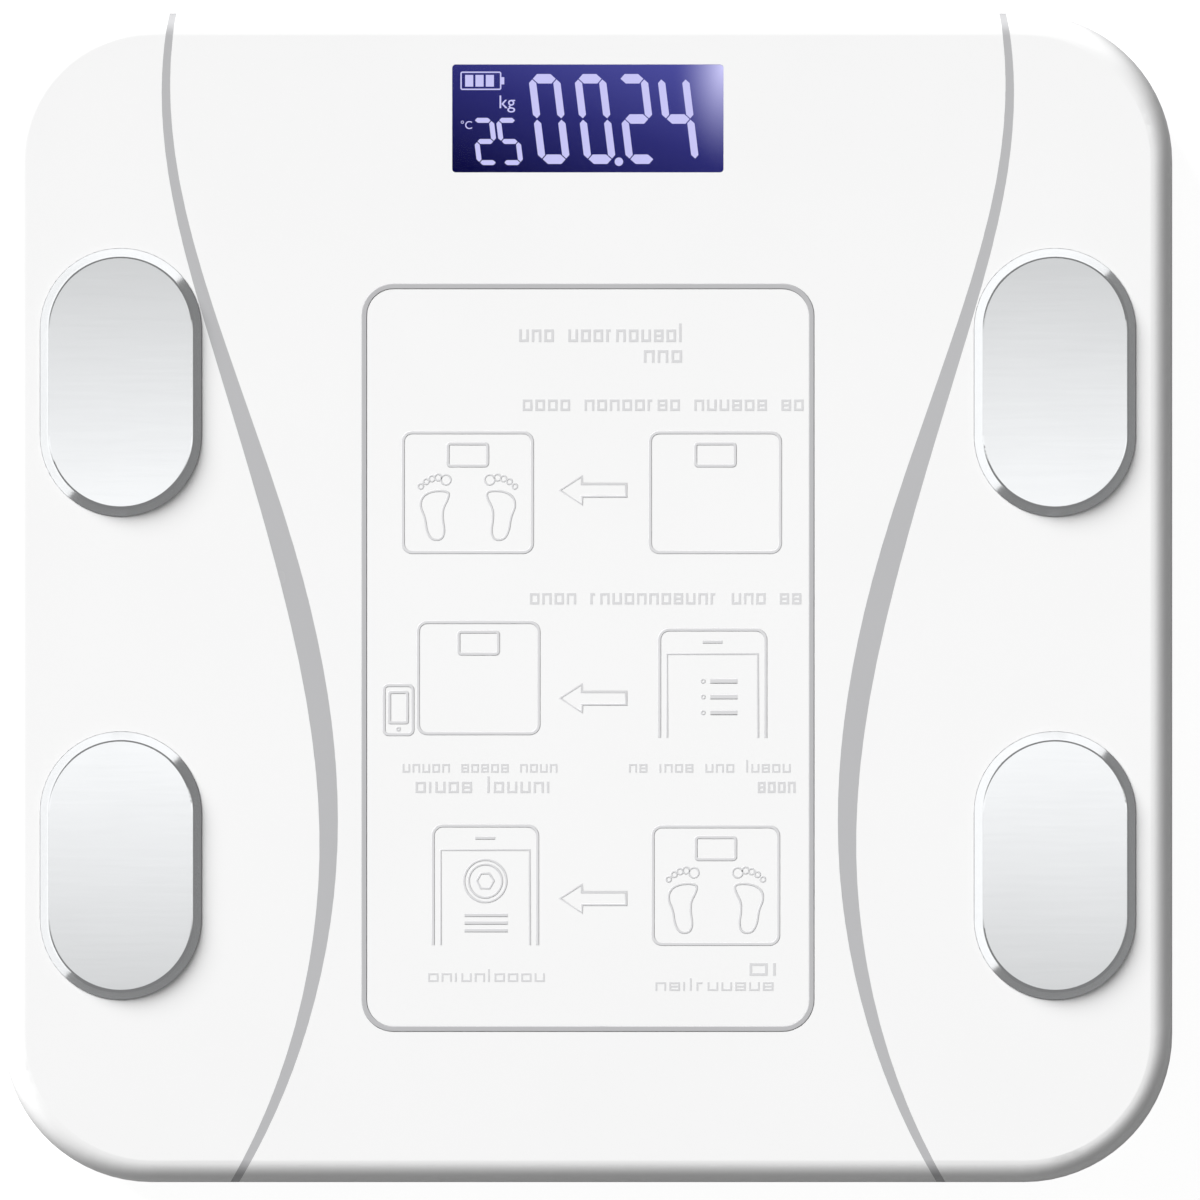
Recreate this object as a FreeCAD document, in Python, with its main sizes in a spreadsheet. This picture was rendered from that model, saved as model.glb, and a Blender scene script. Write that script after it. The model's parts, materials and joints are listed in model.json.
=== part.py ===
import FreeCAD, Part

import math
import os
import re

import Sketcher
from FreeCAD import Placement, Rotation, Vector

# A square body-fat scale: a white moulded casing with rounded corners, four raised
# steel electrodes, a display window near the toe edge and four sprung feet.
# The origin lies on the floor under the centre. +Z is up, +Y points to the toe edge
# with the display, +X to the right of a person who stands facing the display.

SIZES = [
    # Casing
    ("body_width", 260.0, "casing, side to side"),
    ("body_depth", 260.0, "casing, heel edge to toe edge"),
    ("corner_round", 33.0, "radius of the corners seen from above"),
    ("edge_round", 5.0, "radius where the deck turns into the side wall"),
    ("ground_gap", 4.0, "floor to the underside of the casing"),
    ("body_height", 20.0, "underside of the casing to the deck"),
    ("deck_thickness", 2.6, "top wall of the upper cover"),
    ("wall_thickness", 2.2, "side wall of the upper cover"),
    ("cavity_round", 2.5, "inner radius between deck and side wall"),
    ("base_height", 6.0, "outer side wall of the base cover"),
    ("base_round", 4.0, "rounded lower edge of the base cover"),
    ("floor_thickness", 2.0, "bottom wall of the base cover"),
    ("parting_gap", 0.5, "shadow line between the two covers"),
    ("lip_height", 2.5, "lip of the base cover that stands inside the upper one"),
    ("lip_thickness", 1.4, "wall of that lip"),
    ("lip_clearance", 0.2, "gap between the lip and the upper cover"),
    ("rib_height", 2.8, "stiffening ribs under the deck"),
    ("rib_thickness", 1.4, "wall of those ribs"),
    ("rib_spread", 6.0, "ribs to the battery bay"),
    # Grey lines let into the deck
    ("line_depth", 0.5, "thickness of the inlaid line"),
    # Electrodes
    ("electrode_width", 35.8, "foot electrode, side to side"),
    ("electrode_length", 59.5, "foot electrode, heel to toe"),
    ("electrode_rise", 2.0, "top of the electrode above the deck"),
    ("electrode_slope", 1.8, "width of the sloping skirt"),
    ("electrode_step", 0.3, "upright part of the skirt above the deck"),
    ("electrode_sink", 0.6, "skirt let into the groove in the deck"),
    ("electrode_bend", 1.0, "radius where the skirt meets the face"),
    ("electrode_clearance", 0.1, "gap between the skirt and its groove"),
    ("side_electrode_gap", 8.35, "side edge of the casing to an electrode"),
    ("toe_electrode_gap", 52.4, "toe edge of the casing to the toe electrodes"),
    ("heel_electrode_gap", 40.75, "heel edge of the casing to the heel electrodes"),
    ("steel_thickness", 0.6, "sheet of the electrodes"),
    ("glue_thickness", 0.2, "adhesive film"),
    ("stud_diameter", 3.0, "welded stud under each electrode"),
    ("stud_length", 8.0, "welded stud below the sheet"),
    ("stud_clearance", 0.3, "radial gap round a stud in the deck"),
    ("nut_height", 2.4, "nut on the stud"),
    ("nut_width", 5.5, "nut across its flats"),
    ("nut_clearance", 0.3, "nut to the barrel of the terminal"),
    ("terminal_diameter", 6.6, "ring terminal under the deck"),
    ("terminal_thickness", 0.8, "sheet of the ring terminal"),
    ("barrel_diameter", 2.6, "crimped barrel of the ring terminal"),
    ("barrel_reach", 8.75, "stud axis to the end of the barrel"),
    # Display
    ("window_width", 60.3, "display window, side to side"),
    ("window_height", 24.0, "display window, heel to toe"),
    ("window_round", 0.8, "corner radius of the window"),
    ("window_gap", 11.5, "toe edge of the casing to the window"),
    ("lens_clearance", 0.08, "gap between the lens and the window"),
    ("lens_flange", 3.0, "flange of the lens round the window"),
    ("flange_thickness", 1.2, "thickness of that flange"),
    ("glass_margin", 4.0, "liquid crystal glass beyond the window"),
    ("glass_thickness", 2.8, "liquid crystal glass"),
    ("light_margin", 1.0, "backlight guide beyond the window"),
    ("light_thickness", 3.2, "backlight guide"),
    ("strip_width", 1.8, "rubber connector strip"),
    ("holder_wall", 1.6, "display holder, side walls"),
    ("holder_lip", 0.8, "display holder, lip over the glass"),
    ("holder_overlap", 2.4, "display holder, width of the lip over the glass"),
    ("holder_gap", 0.3, "display holder to the lens"),
    ("holder_clearance", 0.15, "gap between the glass and its holder"),
    # Circuit board
    ("board_thickness", 1.6, "circuit board"),
    ("board_side", 10.0, "circuit board beyond the display holder, sideways"),
    ("board_end", 1.2, "circuit board beyond the display holder, heel to toe"),
    ("board_screw_inset", 4.0, "board screws from the edges of the board"),
    ("post_diameter", 5.5, "posts that carry the board"),
    ("small_thread", 2.2, "board screw, thread"),
    ("small_head", 4.4, "board screw, head"),
    ("small_head_height", 1.6, "board screw, head height"),
    ("small_length", 6.0, "board screw below its head"),
    ("socket_height", 4.0, "lead sockets under the board"),
    ("socket_depth", 5.0, "lead sockets along the lead"),
    ("socket_inset", 1.0, "lead sockets from the edge of the board"),
    ("socket_width", 8.0, "socket of one lead, across the lead"),
    ("socket_row", 18.0, "socket of three leads, across the leads"),
    ("socket_offset", 28.0, "socket of three leads, from the middle"),
    ("chip_size", 10.0, "controller chip"),
    ("chip_height", 1.5, "controller chip and radio module"),
    ("chip_offset", 20.0, "controller chip and radio module, from the middle"),
    ("radio_length", 15.0, "radio module, side to side"),
    # Unit button
    ("switch_size", 6.0, "push switch under the board"),
    ("switch_height", 3.0, "push switch"),
    ("plunger_diameter", 3.4, "plunger of the switch"),
    ("plunger_reach", 0.9, "plunger below the switch"),
    ("plunger_length", 1.8, "plunger with its part inside the switch"),
    ("plunger_travel", 0.6, "stroke of the plunger"),
    ("button_diameter", 8.0, "unit button"),
    ("button_clearance", 0.3, "radial gap round the button"),
    ("button_recess", 0.4, "button face above the underside of the casing"),
    ("button_flange", 1.4, "flange of the button beyond its face"),
    ("button_lift", 0.2, "flange of the button above the floor"),
    # Feet and load cells
    ("foot_diameter", 45.0, "foot cup"),
    ("foot_gap", 22.5, "edges of the casing to the foot cups"),
    ("foot_clearance", 0.5, "radial gap round a foot cup in the base cover"),
    ("foot_flange", 2.0, "flange of the cup beyond its side"),
    ("foot_flange_height", 1.2, "thickness of that flange"),
    ("foot_lift", 0.2, "flange above the floor of the base cover"),
    ("foot_dish", 1.8, "depth of the hollow inside the cup"),
    ("sole_diameter", 38.0, "rubber sole"),
    ("sole_thickness", 2.6, "rubber sole"),
    ("sole_sink", 1.1, "sole let into the cup"),
    ("pin_diameter", 9.0, "post of the cup under the load cell"),
    ("pin_gap", 0.05, "post to the tongue of the load cell"),
    ("collar_wall", 1.5, "collar of the base cover round a cup"),
    ("collar_height", 2.5, "collar above the floor"),
    ("sensor_size", 34.0, "load cell, square"),
    ("sensor_thickness", 1.2, "load cell sheet"),
    ("sensor_height", 4.0, "load cell above the floor of the base cover"),
    ("sensor_rim", 4.0, "outer frame of the load cell"),
    ("sensor_slot", 4.0, "slots round its tongue"),
    ("seat_wall", 1.8, "wall of the seat round a load cell"),
    ("seat_clearance", 0.2, "gap between the load cell and its seat"),
    ("seat_ledge", 2.2, "width of the ledge that presses on the load cell"),
    ("notch_width", 4.5, "notch in the seat for the lead"),
    ("notch_length", 5.4, "notch in the seat along the lead"),
    # Battery bay
    ("battery_diameter", 10.5, "cylindrical cell"),
    ("battery_length", 44.5, "cylindrical cell with its nub"),
    ("nub_diameter", 3.8, "positive nub of a cell"),
    ("nub_height", 1.0, "positive nub of a cell"),
    ("battery_gap", 0.7, "gap between neighbouring cells"),
    ("battery_clearance", 0.5, "cells to the side walls of the bay"),
    ("battery_play", 0.3, "cells to the door and to the roof of the bay"),
    ("leaf_reach", 4.3, "sprung contact, end wall to the cell"),
    ("leaf_crest", 1.6, "upturned end of a sprung contact"),
    ("contact_sheet", 0.4, "sheet of the battery contacts"),
    ("contact_width", 7.0, "width of a battery contact"),
    ("contact_height", 8.0, "height of a battery contact"),
    ("end_play", 0.1, "cell to its contacts"),
    ("bay_wall", 1.4, "walls and roof of the battery bay"),
    ("door_thickness", 1.8, "battery door"),
    ("door_overlap", 3.0, "door beyond the bay, each side"),
    ("door_clearance", 0.3, "gap round the door"),
    ("door_seat", 0.1, "gap between the door and its ledge"),
    ("door_frame", 1.8, "thick rim of the base cover round the door"),
    ("knuckle_radius", 1.6, "rounded hinge edge of the door"),
    ("hinge_pin", 1.6, "diameter of the hinge pins on the door"),
    ("hinge_reach", 1.5, "length of the hinge pins"),
    ("hinge_clearance", 0.08, "radial gap round the hinge pins"),
    ("latch_width", 12.0, "sprung tongue of the door"),
    ("latch_length", 7.0, "sprung tongue of the door"),
    ("latch_slot", 1.0, "slots beside the tongue"),
    # Case screws
    ("screw_corner_inset", 18.0, "corner screws from the edges of the casing"),
    ("screw_edge_inset", 11.0, "edge screws from the edge of the casing"),
    ("screw_thread", 3.0, "case screw, thread"),
    ("screw_head", 5.6, "case screw, head"),
    ("screw_head_height", 2.0, "case screw, head height"),
    ("screw_length", 8.0, "case screw below its head"),
    ("screw_sink", 0.6, "screw head above the underside of the casing"),
    ("screw_clearance", 0.3, "radial gap round heads and shanks"),
    ("cross_length", 3.36, "cross recess of a screw head"),
    ("cross_width", 0.9, "slots of the cross recess"),
    ("cross_depth", 1.0, "depth of the cross recess"),
    ("boss_diameter", 8.0, "screw bosses of both covers"),
    ("boss_web", 1.6, "wall of the base cover under a screw head"),
    # Leads
    ("cell_lead_diameter", 2.2, "three-core lead of a load cell"),
    ("wire_diameter", 1.6, "single wire of an electrode"),
    ("battery_lead_diameter", 2.2, "two-core lead of the battery"),
]

# Stations of the grey line on the right half: share of the half depth from the centre
# towards the toe edge, distance inside the inner edge of the electrodes, width.
LINE_STATIONS = [
    (1.01, -6.1, 1.5),
    (0.846, -7.85, 1.9),
    (0.431, 3.85, 3.2),
    (0.038, 19.75, 5.2),
    (-0.415, 28.25, 4.0),
    (-0.749, 21.55, 2.7),
    (-1.01, 6.5, 1.9),
]

# Routes of the leads on the right half, from the piece they serve to the board.
LEAD_ROUTES = {
    "cell_lead_toe": [
        (68, 85, 11.1), (59, 86, 10.8), (53, 98, 9.6), (44, 98.5, 9.3),
    ],
    "cell_lead_heel": [
        (68, -85, 11.1), (57, -84, 11.5), (46, -74, 12.5), (40, -56, 13), (38, -30, 13.5),
        (40, 0, 13.5), (37, 30, 13), (30, 53, 12), (23.5, 70, 10.5), (22, 88.5, 9.3),
    ],
    "electrode_lead_toe": [
        (95, 47.85, 20.1), (84, 48, 19), (69, 52, 16.5), (54, 60, 14), (42, 71, 11),
        (35, 88.5, 9.3),
    ],
    "electrode_lead_heel": [
        (95, -59.5, 20.1), (84, -58.5, 19), (68, -50, 16.5), (57, -33, 15), (53, -6, 14.5),
        (52, 24, 14.5), (44, 48, 13), (33, 66, 11), (28.5, 88.5, 9.3),
    ],
}
BATTERY_ROUTE = [(8, 18.35, 13.5), (7, 32, 13.2), (2, 50, 12.5), (-2, 68, 11), (0, 88.5, 9.3)]

CORNERS = {"toe_left": (-1, 1), "toe_right": (1, 1), "heel_left": (-1, -1), "heel_right": (1, -1)}

# Levels and places that follow from the sizes, as expressions.
DECK = "(ground_gap + body_height)"
CEILING = f"({DECK} - deck_thickness)"
FLOOR = "(ground_gap + floor_thickness)"
RIM = "(ground_gap + base_height)"
SKIRT = f"({RIM} + parting_gap)"
CELL = f"({FLOOR} + sensor_height)"
LENS = f"({CEILING} - glue_thickness - flange_thickness)"
GLASS = f"({LENS} - holder_gap - holder_lip - glass_thickness)"
BOARD_TOP = f"({GLASS} - light_thickness)"
BOARD = f"({BOARD_TOP} - board_thickness)"
WINDOW_Y = "(body_depth / 2 - window_gap - window_height / 2)"
HOLDER_WIDTH = "(window_width + 2 * (glass_margin + holder_clearance + holder_wall))"
HOLDER_DEPTH = "(window_height + 2 * (glass_margin + holder_clearance + holder_wall))"
BOARD_WIDTH = f"({HOLDER_WIDTH} + 2 * board_side)"
BOARD_DEPTH = f"({HOLDER_DEPTH} + 2 * board_end)"
BOSS_LEVEL = "(ground_gap + screw_sink + screw_head_height + boss_web)"
DOOR_TOP = "(ground_gap + door_thickness)"
LEDGE = f"({DOOR_TOP} + door_seat)"
BATTERY_Z = f"({LEDGE} + battery_play + battery_diameter / 2)"
BAY_TOP = f"({BATTERY_Z} + battery_diameter / 2 + battery_play)"
BAY_LENGTH = "(battery_length + leaf_reach + contact_sheet + 2 * end_play)"
BAY_WIDTH = "(3 * battery_diameter + 2 * battery_gap + 2 * battery_clearance)"
DOOR_LENGTH = f"({BAY_LENGTH} + 2 * door_overlap)"
DOOR_WIDTH = f"({BAY_WIDTH} + 2 * door_overlap)"
HINGE_Y = f"(-{DOOR_WIDTH} / 2 + knuckle_radius)"
HINGE_Z = "(ground_gap + knuckle_radius)"
STUD_TOP = f"({DECK} + electrode_rise - steel_thickness)"
PLUNGER = f"({BOARD} - switch_height - plunger_reach)"

document = FreeCAD.newDocument("body_fat_scale")
sheet = document.addObject("Spreadsheet::Sheet", "Sizes")
for row, (alias, size, note) in enumerate(SIZES, start=1):
    sheet.set(f"A{row}", note)
    sheet.set(f"B{row}", str(size))
    sheet.setAlias(f"B{row}", alias)
document.recompute()
nodes = []


def sized(text):
    # Every size has a name of two or more words, so it is told from a function.
    return re.sub(r"[a-z]+(?:_[a-z]+)+", lambda found: "Sizes." + found.group(0), text)


def value(text):
    return float(sheet.evalExpression(sized(text)))


def bind(thing, **expressions):
    for name, text in expressions.items():
        thing.setExpression(name, sized(text))


def place(thing, x, y, z):
    for axis, text in zip("xyz", (x, y, z)):
        thing.setExpression(f"Placement.Base.{axis}", sized(text))


def keep(thing, label):
    thing.Label = label
    nodes.append(thing)
    return thing


# Sketches and features


def new_body(label):
    return document.addObject("PartDesign::Body", label)


def sketch_on(body, level, plane="XY_Plane"):
    sketch = body.newObject("Sketcher::SketchObject", "Profile")
    support = next(f for f in body.Origin.OriginFeatures if f.Role == plane)
    sketch.AttachmentSupport = [(support, "")]
    sketch.MapMode = "FlatFace"
    sketch.setExpression("AttachmentOffset.Base.z", sized(level))
    return sketch


def dimension(sketch, text, kind, *where):
    index = sketch.addConstraint(Sketcher.Constraint(kind, *where, value(text)))
    sketch.setExpression(f"Constraints[{index}]", sized(text))


def pin_point(sketch, shape, point, x, y):
    dimension(sketch, x, "DistanceX", -1, 1, shape, point)
    dimension(sketch, y, "DistanceY", -1, 1, shape, point)


def draw_circle(sketch, x, y, diameter):
    centre = Vector(value(x), value(y), 0)
    shape = sketch.addGeometry(Part.Circle(centre, Vector(0, 0, 1), value(diameter) / 2), False)
    dimension(sketch, diameter, "Diameter", shape)
    pin_point(sketch, shape, 3, x, y)


def draw_rectangle(sketch, x, y, width, depth):
    west, east = f"({x}) - ({width}) / 2", f"({x}) + ({width}) / 2"
    south, north = f"({y}) - ({depth}) / 2", f"({y}) + ({depth}) / 2"
    corners = [Vector(value(a), value(b), 0) for a, b in
               ((west, south), (east, south), (east, north), (west, north))]
    sides = [sketch.addGeometry(Part.LineSegment(corners[i], corners[(i + 1) % 4]), False)
             for i in range(4)]
    for i in range(4):
        sketch.addConstraint(Sketcher.Constraint("Coincident", sides[i], 2, sides[(i + 1) % 4], 1))
        level = "Vertical" if i % 2 else "Horizontal"
        sketch.addConstraint(Sketcher.Constraint(level, sides[i]))
    pin_point(sketch, sides[0], 1, west, south)
    pin_point(sketch, sides[2], 1, east, north)


def draw_rounded(sketch, x, y, width, depth, radius):
    # Lower left, lower right, upper right and upper left arcs, joined by tangent lines.
    turn = value(radius)
    ends = []
    for a, b in ((-1, -1), (1, -1), (1, 1), (-1, 1)):
        across = f"({x}) + ({a}) * (({width}) / 2 - ({radius}))"
        along = f"({y}) + ({b}) * (({depth}) / 2 - ({radius}))"
        ends.append((across, along))
    arcs = []
    for quarter, (across, along) in enumerate(ends):
        circle = Part.Circle(Vector(value(across), value(along), 0), Vector(0, 0, 1), turn)
        start = math.pi + quarter * math.pi / 2
        arcs.append(sketch.addGeometry(Part.ArcOfCircle(circle, start, start + math.pi / 2), False))
    for quarter in range(4):
        first, second = sketch.Geometry[arcs[quarter]], sketch.Geometry[arcs[(quarter + 1) % 4]]
        side = sketch.addGeometry(Part.LineSegment(first.EndPoint, second.StartPoint), False)
        sketch.addConstraint(Sketcher.Constraint("Tangent", arcs[quarter], 2, side, 1))
        sketch.addConstraint(Sketcher.Constraint("Tangent", side, 2, arcs[(quarter + 1) % 4], 1))
        level = "Vertical" if quarter % 2 else "Horizontal"
        sketch.addConstraint(Sketcher.Constraint(level, side))
    dimension(sketch, radius, "Radius", arcs[0])
    dimension(sketch, radius, "Radius", arcs[2])
    pin_point(sketch, arcs[0], 3, *ends[0])
    pin_point(sketch, arcs[2], 3, *ends[2])


def draw_stadium(sketch, x, y, width, length):
    # Two half circles joined by sides that run heel to toe.
    reach = f"(({length}) - ({width})) / 2"
    radius = value(width) / 2
    tops = []
    for sign, start in ((1, 0.0), (-1, math.pi)):
        middle = Vector(value(x), value(f"({y}) + {sign} * {reach}"), 0)
        arc = Part.ArcOfCircle(Part.Circle(middle, Vector(0, 0, 1), radius), start, start + math.pi)
        tops.append(sketch.addGeometry(arc, False))
    for one, other in ((0, 1), (1, 0)):
        first, second = sketch.Geometry[tops[one]], sketch.Geometry[tops[other]]
        side = sketch.addGeometry(Part.LineSegment(first.EndPoint, second.StartPoint), False)
        sketch.addConstraint(Sketcher.Constraint("Tangent", tops[one], 2, side, 1))
        sketch.addConstraint(Sketcher.Constraint("Tangent", side, 2, tops[other], 1))
    dimension(sketch, f"({width}) / 2", "Radius", tops[0])
    pin_point(sketch, tops[0], 3, x, f"({y}) + {reach}")
    pin_point(sketch, tops[1], 3, x, f"({y}) - {reach}")


def pad(body, sketch, length, down=False):
    feature = body.newObject("PartDesign::Pad", "Pad")
    feature.Profile = sketch
    feature.Reversed = down
    bind(feature, Length=length)
    document.recompute()
    return feature


def pocket(body, sketch, depth, up=True):
    before = body.Shape.Volume
    feature = body.newObject("PartDesign::Pocket", "Pocket")
    feature.Profile = sketch
    feature.Reversed = up
    bind(feature, Length=depth)
    document.recompute()
    if not body.Shape.Volume < before:
        raise ValueError(f"{body.Label}: a pocket removed nothing")
    return feature


def edges_at(shape, level):
    height = value(level)
    names = []
    for number, edge in enumerate(shape.Edges, start=1):
        box = edge.BoundBox
        if abs(box.ZMin - height) < 1e-4 and abs(box.ZMax - height) < 1e-4:
            names.append(f"Edge{number}")
    return names


def fillet(body, level, radius):
    # Rounds every edge that lies at one level.
    base = body.Tip
    names = edges_at(base.Shape, level)
    feature = body.newObject("PartDesign::Fillet", "Fillet")
    feature.Base = (base, names)
    bind(feature, Radius=radius)
    document.recompute()
    return feature


# Solids and booleans


def block(label, size, centre, bottom):
    solid = document.addObject("Part::Box", label)
    bind(solid, Length=size[0], Width=size[1], Height=size[2])
    place(solid, f"({centre[0]}) - ({size[0]}) / 2", f"({centre[1]}) - ({size[1]}) / 2", bottom)
    return solid


def rod(label, diameter, height, centre, bottom):
    solid = document.addObject("Part::Cylinder", label)
    bind(solid, Radius=f"({diameter}) / 2", Height=height)
    place(solid, centre[0], centre[1], bottom)
    return solid


def rod_along_x(label, diameter, length, start):
    solid = document.addObject("Part::Cylinder", label)
    solid.Placement = Placement(Vector(), Rotation(Vector(0, 1, 0), 90))
    bind(solid, Radius=f"({diameter}) / 2", Height=length)
    place(solid, *start)
    return solid


def fuse(label, pieces):
    solid = document.addObject("Part::MultiFuse", label)
    solid.Shapes = pieces
    return solid


def group(label, pieces):
    solid = document.addObject("Part::Compound", label)
    solid.Links = pieces
    return solid


def cut(label, base, tools):
    solid = document.addObject("Part::Cut", label)
    solid.Base = base
    solid.Tool = tools[0] if len(tools) == 1 else fuse(label + "_tools", tools)
    return solid


def common(label, base, tool):
    solid = document.addObject("Part::Common", label)
    solid.Base = base
    solid.Tool = tool
    return solid


# Places


def electrode_place(side, end):
    x = f"({side}) * (body_width / 2 - side_electrode_gap - electrode_width / 2)"
    gap = "toe_electrode_gap" if end > 0 else "heel_electrode_gap"
    return x, f"({end}) * (body_depth / 2 - {gap} - electrode_length / 2)"


def foot_place(side, end):
    reach = "foot_gap - foot_diameter / 2"
    return f"({side}) * (body_width / 2 - {reach})", f"({end}) * (body_depth / 2 - {reach})"


def screw_places():
    corner = [(f"({a}) * (body_width / 2 - screw_corner_inset)",
               f"({b}) * (body_depth / 2 - screw_corner_inset)") for a, b in CORNERS.values()]
    sides = [(f"({a}) * (body_width / 2 - screw_edge_inset)", "0") for a in (-1, 1)]
    return corner + sides + [("0", "-(body_depth / 2 - screw_edge_inset)")]


def board_screw_places():
    return [(f"({a}) * ({BOARD_WIDTH} / 2 - board_screw_inset)",
             f"{WINDOW_Y} + ({b}) * ({BOARD_DEPTH} / 2 - board_screw_inset)")
            for a, b in CORNERS.values()]


# Casing


def casing_outline(sketch, inset):
    draw_rounded(sketch, "0", "0", f"body_width - 2 * ({inset})", f"body_depth - 2 * ({inset})",
                 f"corner_round - ({inset})")


def casing_form(label, inset):
    body = new_body(label)
    outline = sketch_on(body, SKIRT)
    casing_outline(outline, inset)
    pad(body, outline, f"{DECK} - ({inset}) - {SKIRT}")
    fillet(body, f"{DECK} - ({inset})", f"edge_round - ({inset})")
    return body


def electrode_outline(sketch, inset, corners=CORNERS):
    for side, end in corners.values():
        draw_stadium(sketch, *electrode_place(side, end), f"electrode_width - 2 * ({inset})",
                     f"electrode_length - 2 * ({inset})")


def tapered(body, sketch, height, narrowing):
    feature = pad(body, sketch, height)
    feature.setExpression("TaperAngle", sized(f"-atan(({narrowing}) / ({height}))"))
    document.recompute()
    return feature


def line_inlay(label, side, skin, holds):
    # A ribbon between two smooth edges, as tall as the upper cover, cut by its skin.
    edges = []
    for hand in (-1, 1):
        points = []
        for share, inside, width in LINE_STATIONS:
            reach = value("body_width / 2 - side_electrode_gap - electrode_width") - inside
            across = side * (reach + hand * width / 2)
            points.append(Vector(across, share * value("body_depth / 2"), value(SKIRT)))
        curve = Part.BSplineCurve()
        curve.interpolate(points)
        edges.append((curve.toShape(), points))
    caps = [Part.makeLine(edges[0][1][i], edges[1][1][i]) for i in (0, -1)]
    outline = Part.Wire(Part.__sortEdges__([edges[0][0], caps[0], edges[1][0], caps[1]]))
    ribbon = document.addObject("Part::Feature", label + "_ribbon")
    ribbon.Shape = Part.Face(outline).extrude(Vector(0, 0, value(f"{DECK} - {SKIRT}")))
    return keep(cut(label, common(label + "_strip", skin, ribbon), [holds]), label)


def top_cover(inlays):
    body = casing_form("cover_blank", "0")
    plateaus = sketch_on(body, DECK)
    electrode_outline(plateaus, "steel_thickness + electrode_slope + electrode_clearance")
    pad(body, plateaus, "electrode_rise - steel_thickness - glue_thickness")
    grooves = sketch_on(body, DECK)
    electrode_outline(grooves, "-electrode_clearance")
    electrode_outline(grooves, "steel_thickness + electrode_clearance")
    pocket(body, grooves, "electrode_sink", up=False)
    cavity = sketch_on(body, SKIRT)
    casing_outline(cavity, "wall_thickness")
    pocket(body, cavity, f"{CEILING} - {SKIRT}")
    fillet(body, CEILING, "cavity_round")
    window = sketch_on(body, CEILING)
    draw_rounded(window, "0", WINDOW_Y, "window_width", "window_height", "window_round")
    pocket(body, window, "deck_thickness")

    bosses = sketch_on(body, CEILING)
    for x, y in screw_places():
        draw_circle(bosses, x, y, "boss_diameter")
    pad(body, bosses, f"{CEILING} - {BOSS_LEVEL}", down=True)
    threads = sketch_on(body, BOSS_LEVEL)
    for x, y in screw_places():
        draw_circle(threads, x, y, "screw_thread")
    pocket(body, threads, "screw_length")

    posts = sketch_on(body, CEILING)
    for x, y in board_screw_places():
        draw_circle(posts, x, y, "post_diameter")
    pad(body, posts, f"{CEILING} - {BOARD_TOP}", down=True)
    holes = sketch_on(body, BOARD_TOP)
    for x, y in board_screw_places():
        draw_circle(holes, x, y, "small_thread")
    pocket(body, holes, "small_length")

    seat = "sensor_size + 2 * seat_clearance"
    seats = sketch_on(body, CEILING)
    recesses = sketch_on(body, CELL)
    hollows = sketch_on(body, f"{CELL} + sensor_thickness")
    for side, end in CORNERS.values():
        x, y = foot_place(side, end)
        for sketch, size in ((seats, f"{seat} + 2 * seat_wall"), (recesses, seat),
                             (hollows, "sensor_size - 2 * seat_ledge")):
            draw_rectangle(sketch, x, y, size, size)
    pad(body, seats, f"{CEILING} - {CELL}", down=True)
    pocket(body, recesses, "sensor_thickness")
    pocket(body, hollows, f"{CEILING} - {CELL} - sensor_thickness")
    notches = sketch_on(body, CELL)
    for side, end in CORNERS.values():
        x, y = foot_place(side, end)
        draw_rectangle(notches, f"{x} - ({side}) * sensor_size / 2", y, "notch_length",
                       "notch_width")
    pocket(body, notches, "cell_lead_diameter + sensor_thickness")

    bay_x = f"({BAY_LENGTH} / 2 + bay_wall + rib_spread)"
    bay_y = f"({BAY_WIDTH} / 2 + bay_wall + rib_spread)"
    ribs = sketch_on(body, CEILING)
    board_edge = f"({WINDOW_Y} - {BOARD_DEPTH} / 2)"
    heel_edge = "(body_depth / 2 - screw_edge_inset)"
    middle = f"({board_edge} - {heel_edge}) / 2 - rib_spread / 2"
    length = f"{board_edge} + {heel_edge} - rib_spread"
    for side in (-1, 1):
        draw_rectangle(ribs, f"({side}) * {bay_x}", middle, "rib_thickness", length)
    pad(body, ribs, "rib_height", down=True)
    cross_ribs = sketch_on(body, CEILING)
    for end in (-1, 1):
        draw_rectangle(cross_ribs, "0", f"({end}) * {bay_y}",
                       "body_width - 2 * screw_corner_inset", "rib_thickness")
    pad(body, cross_ribs, "rib_height", down=True)

    studs = sketch_on(body, CEILING)
    for side, end in CORNERS.values():
        draw_circle(studs, *electrode_place(side, end), "stud_diameter + 2 * stud_clearance")
    pocket(body, studs, "deck_thickness + electrode_rise")
    keep(cut("top_cover", body, inlays), "top_cover")


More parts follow.
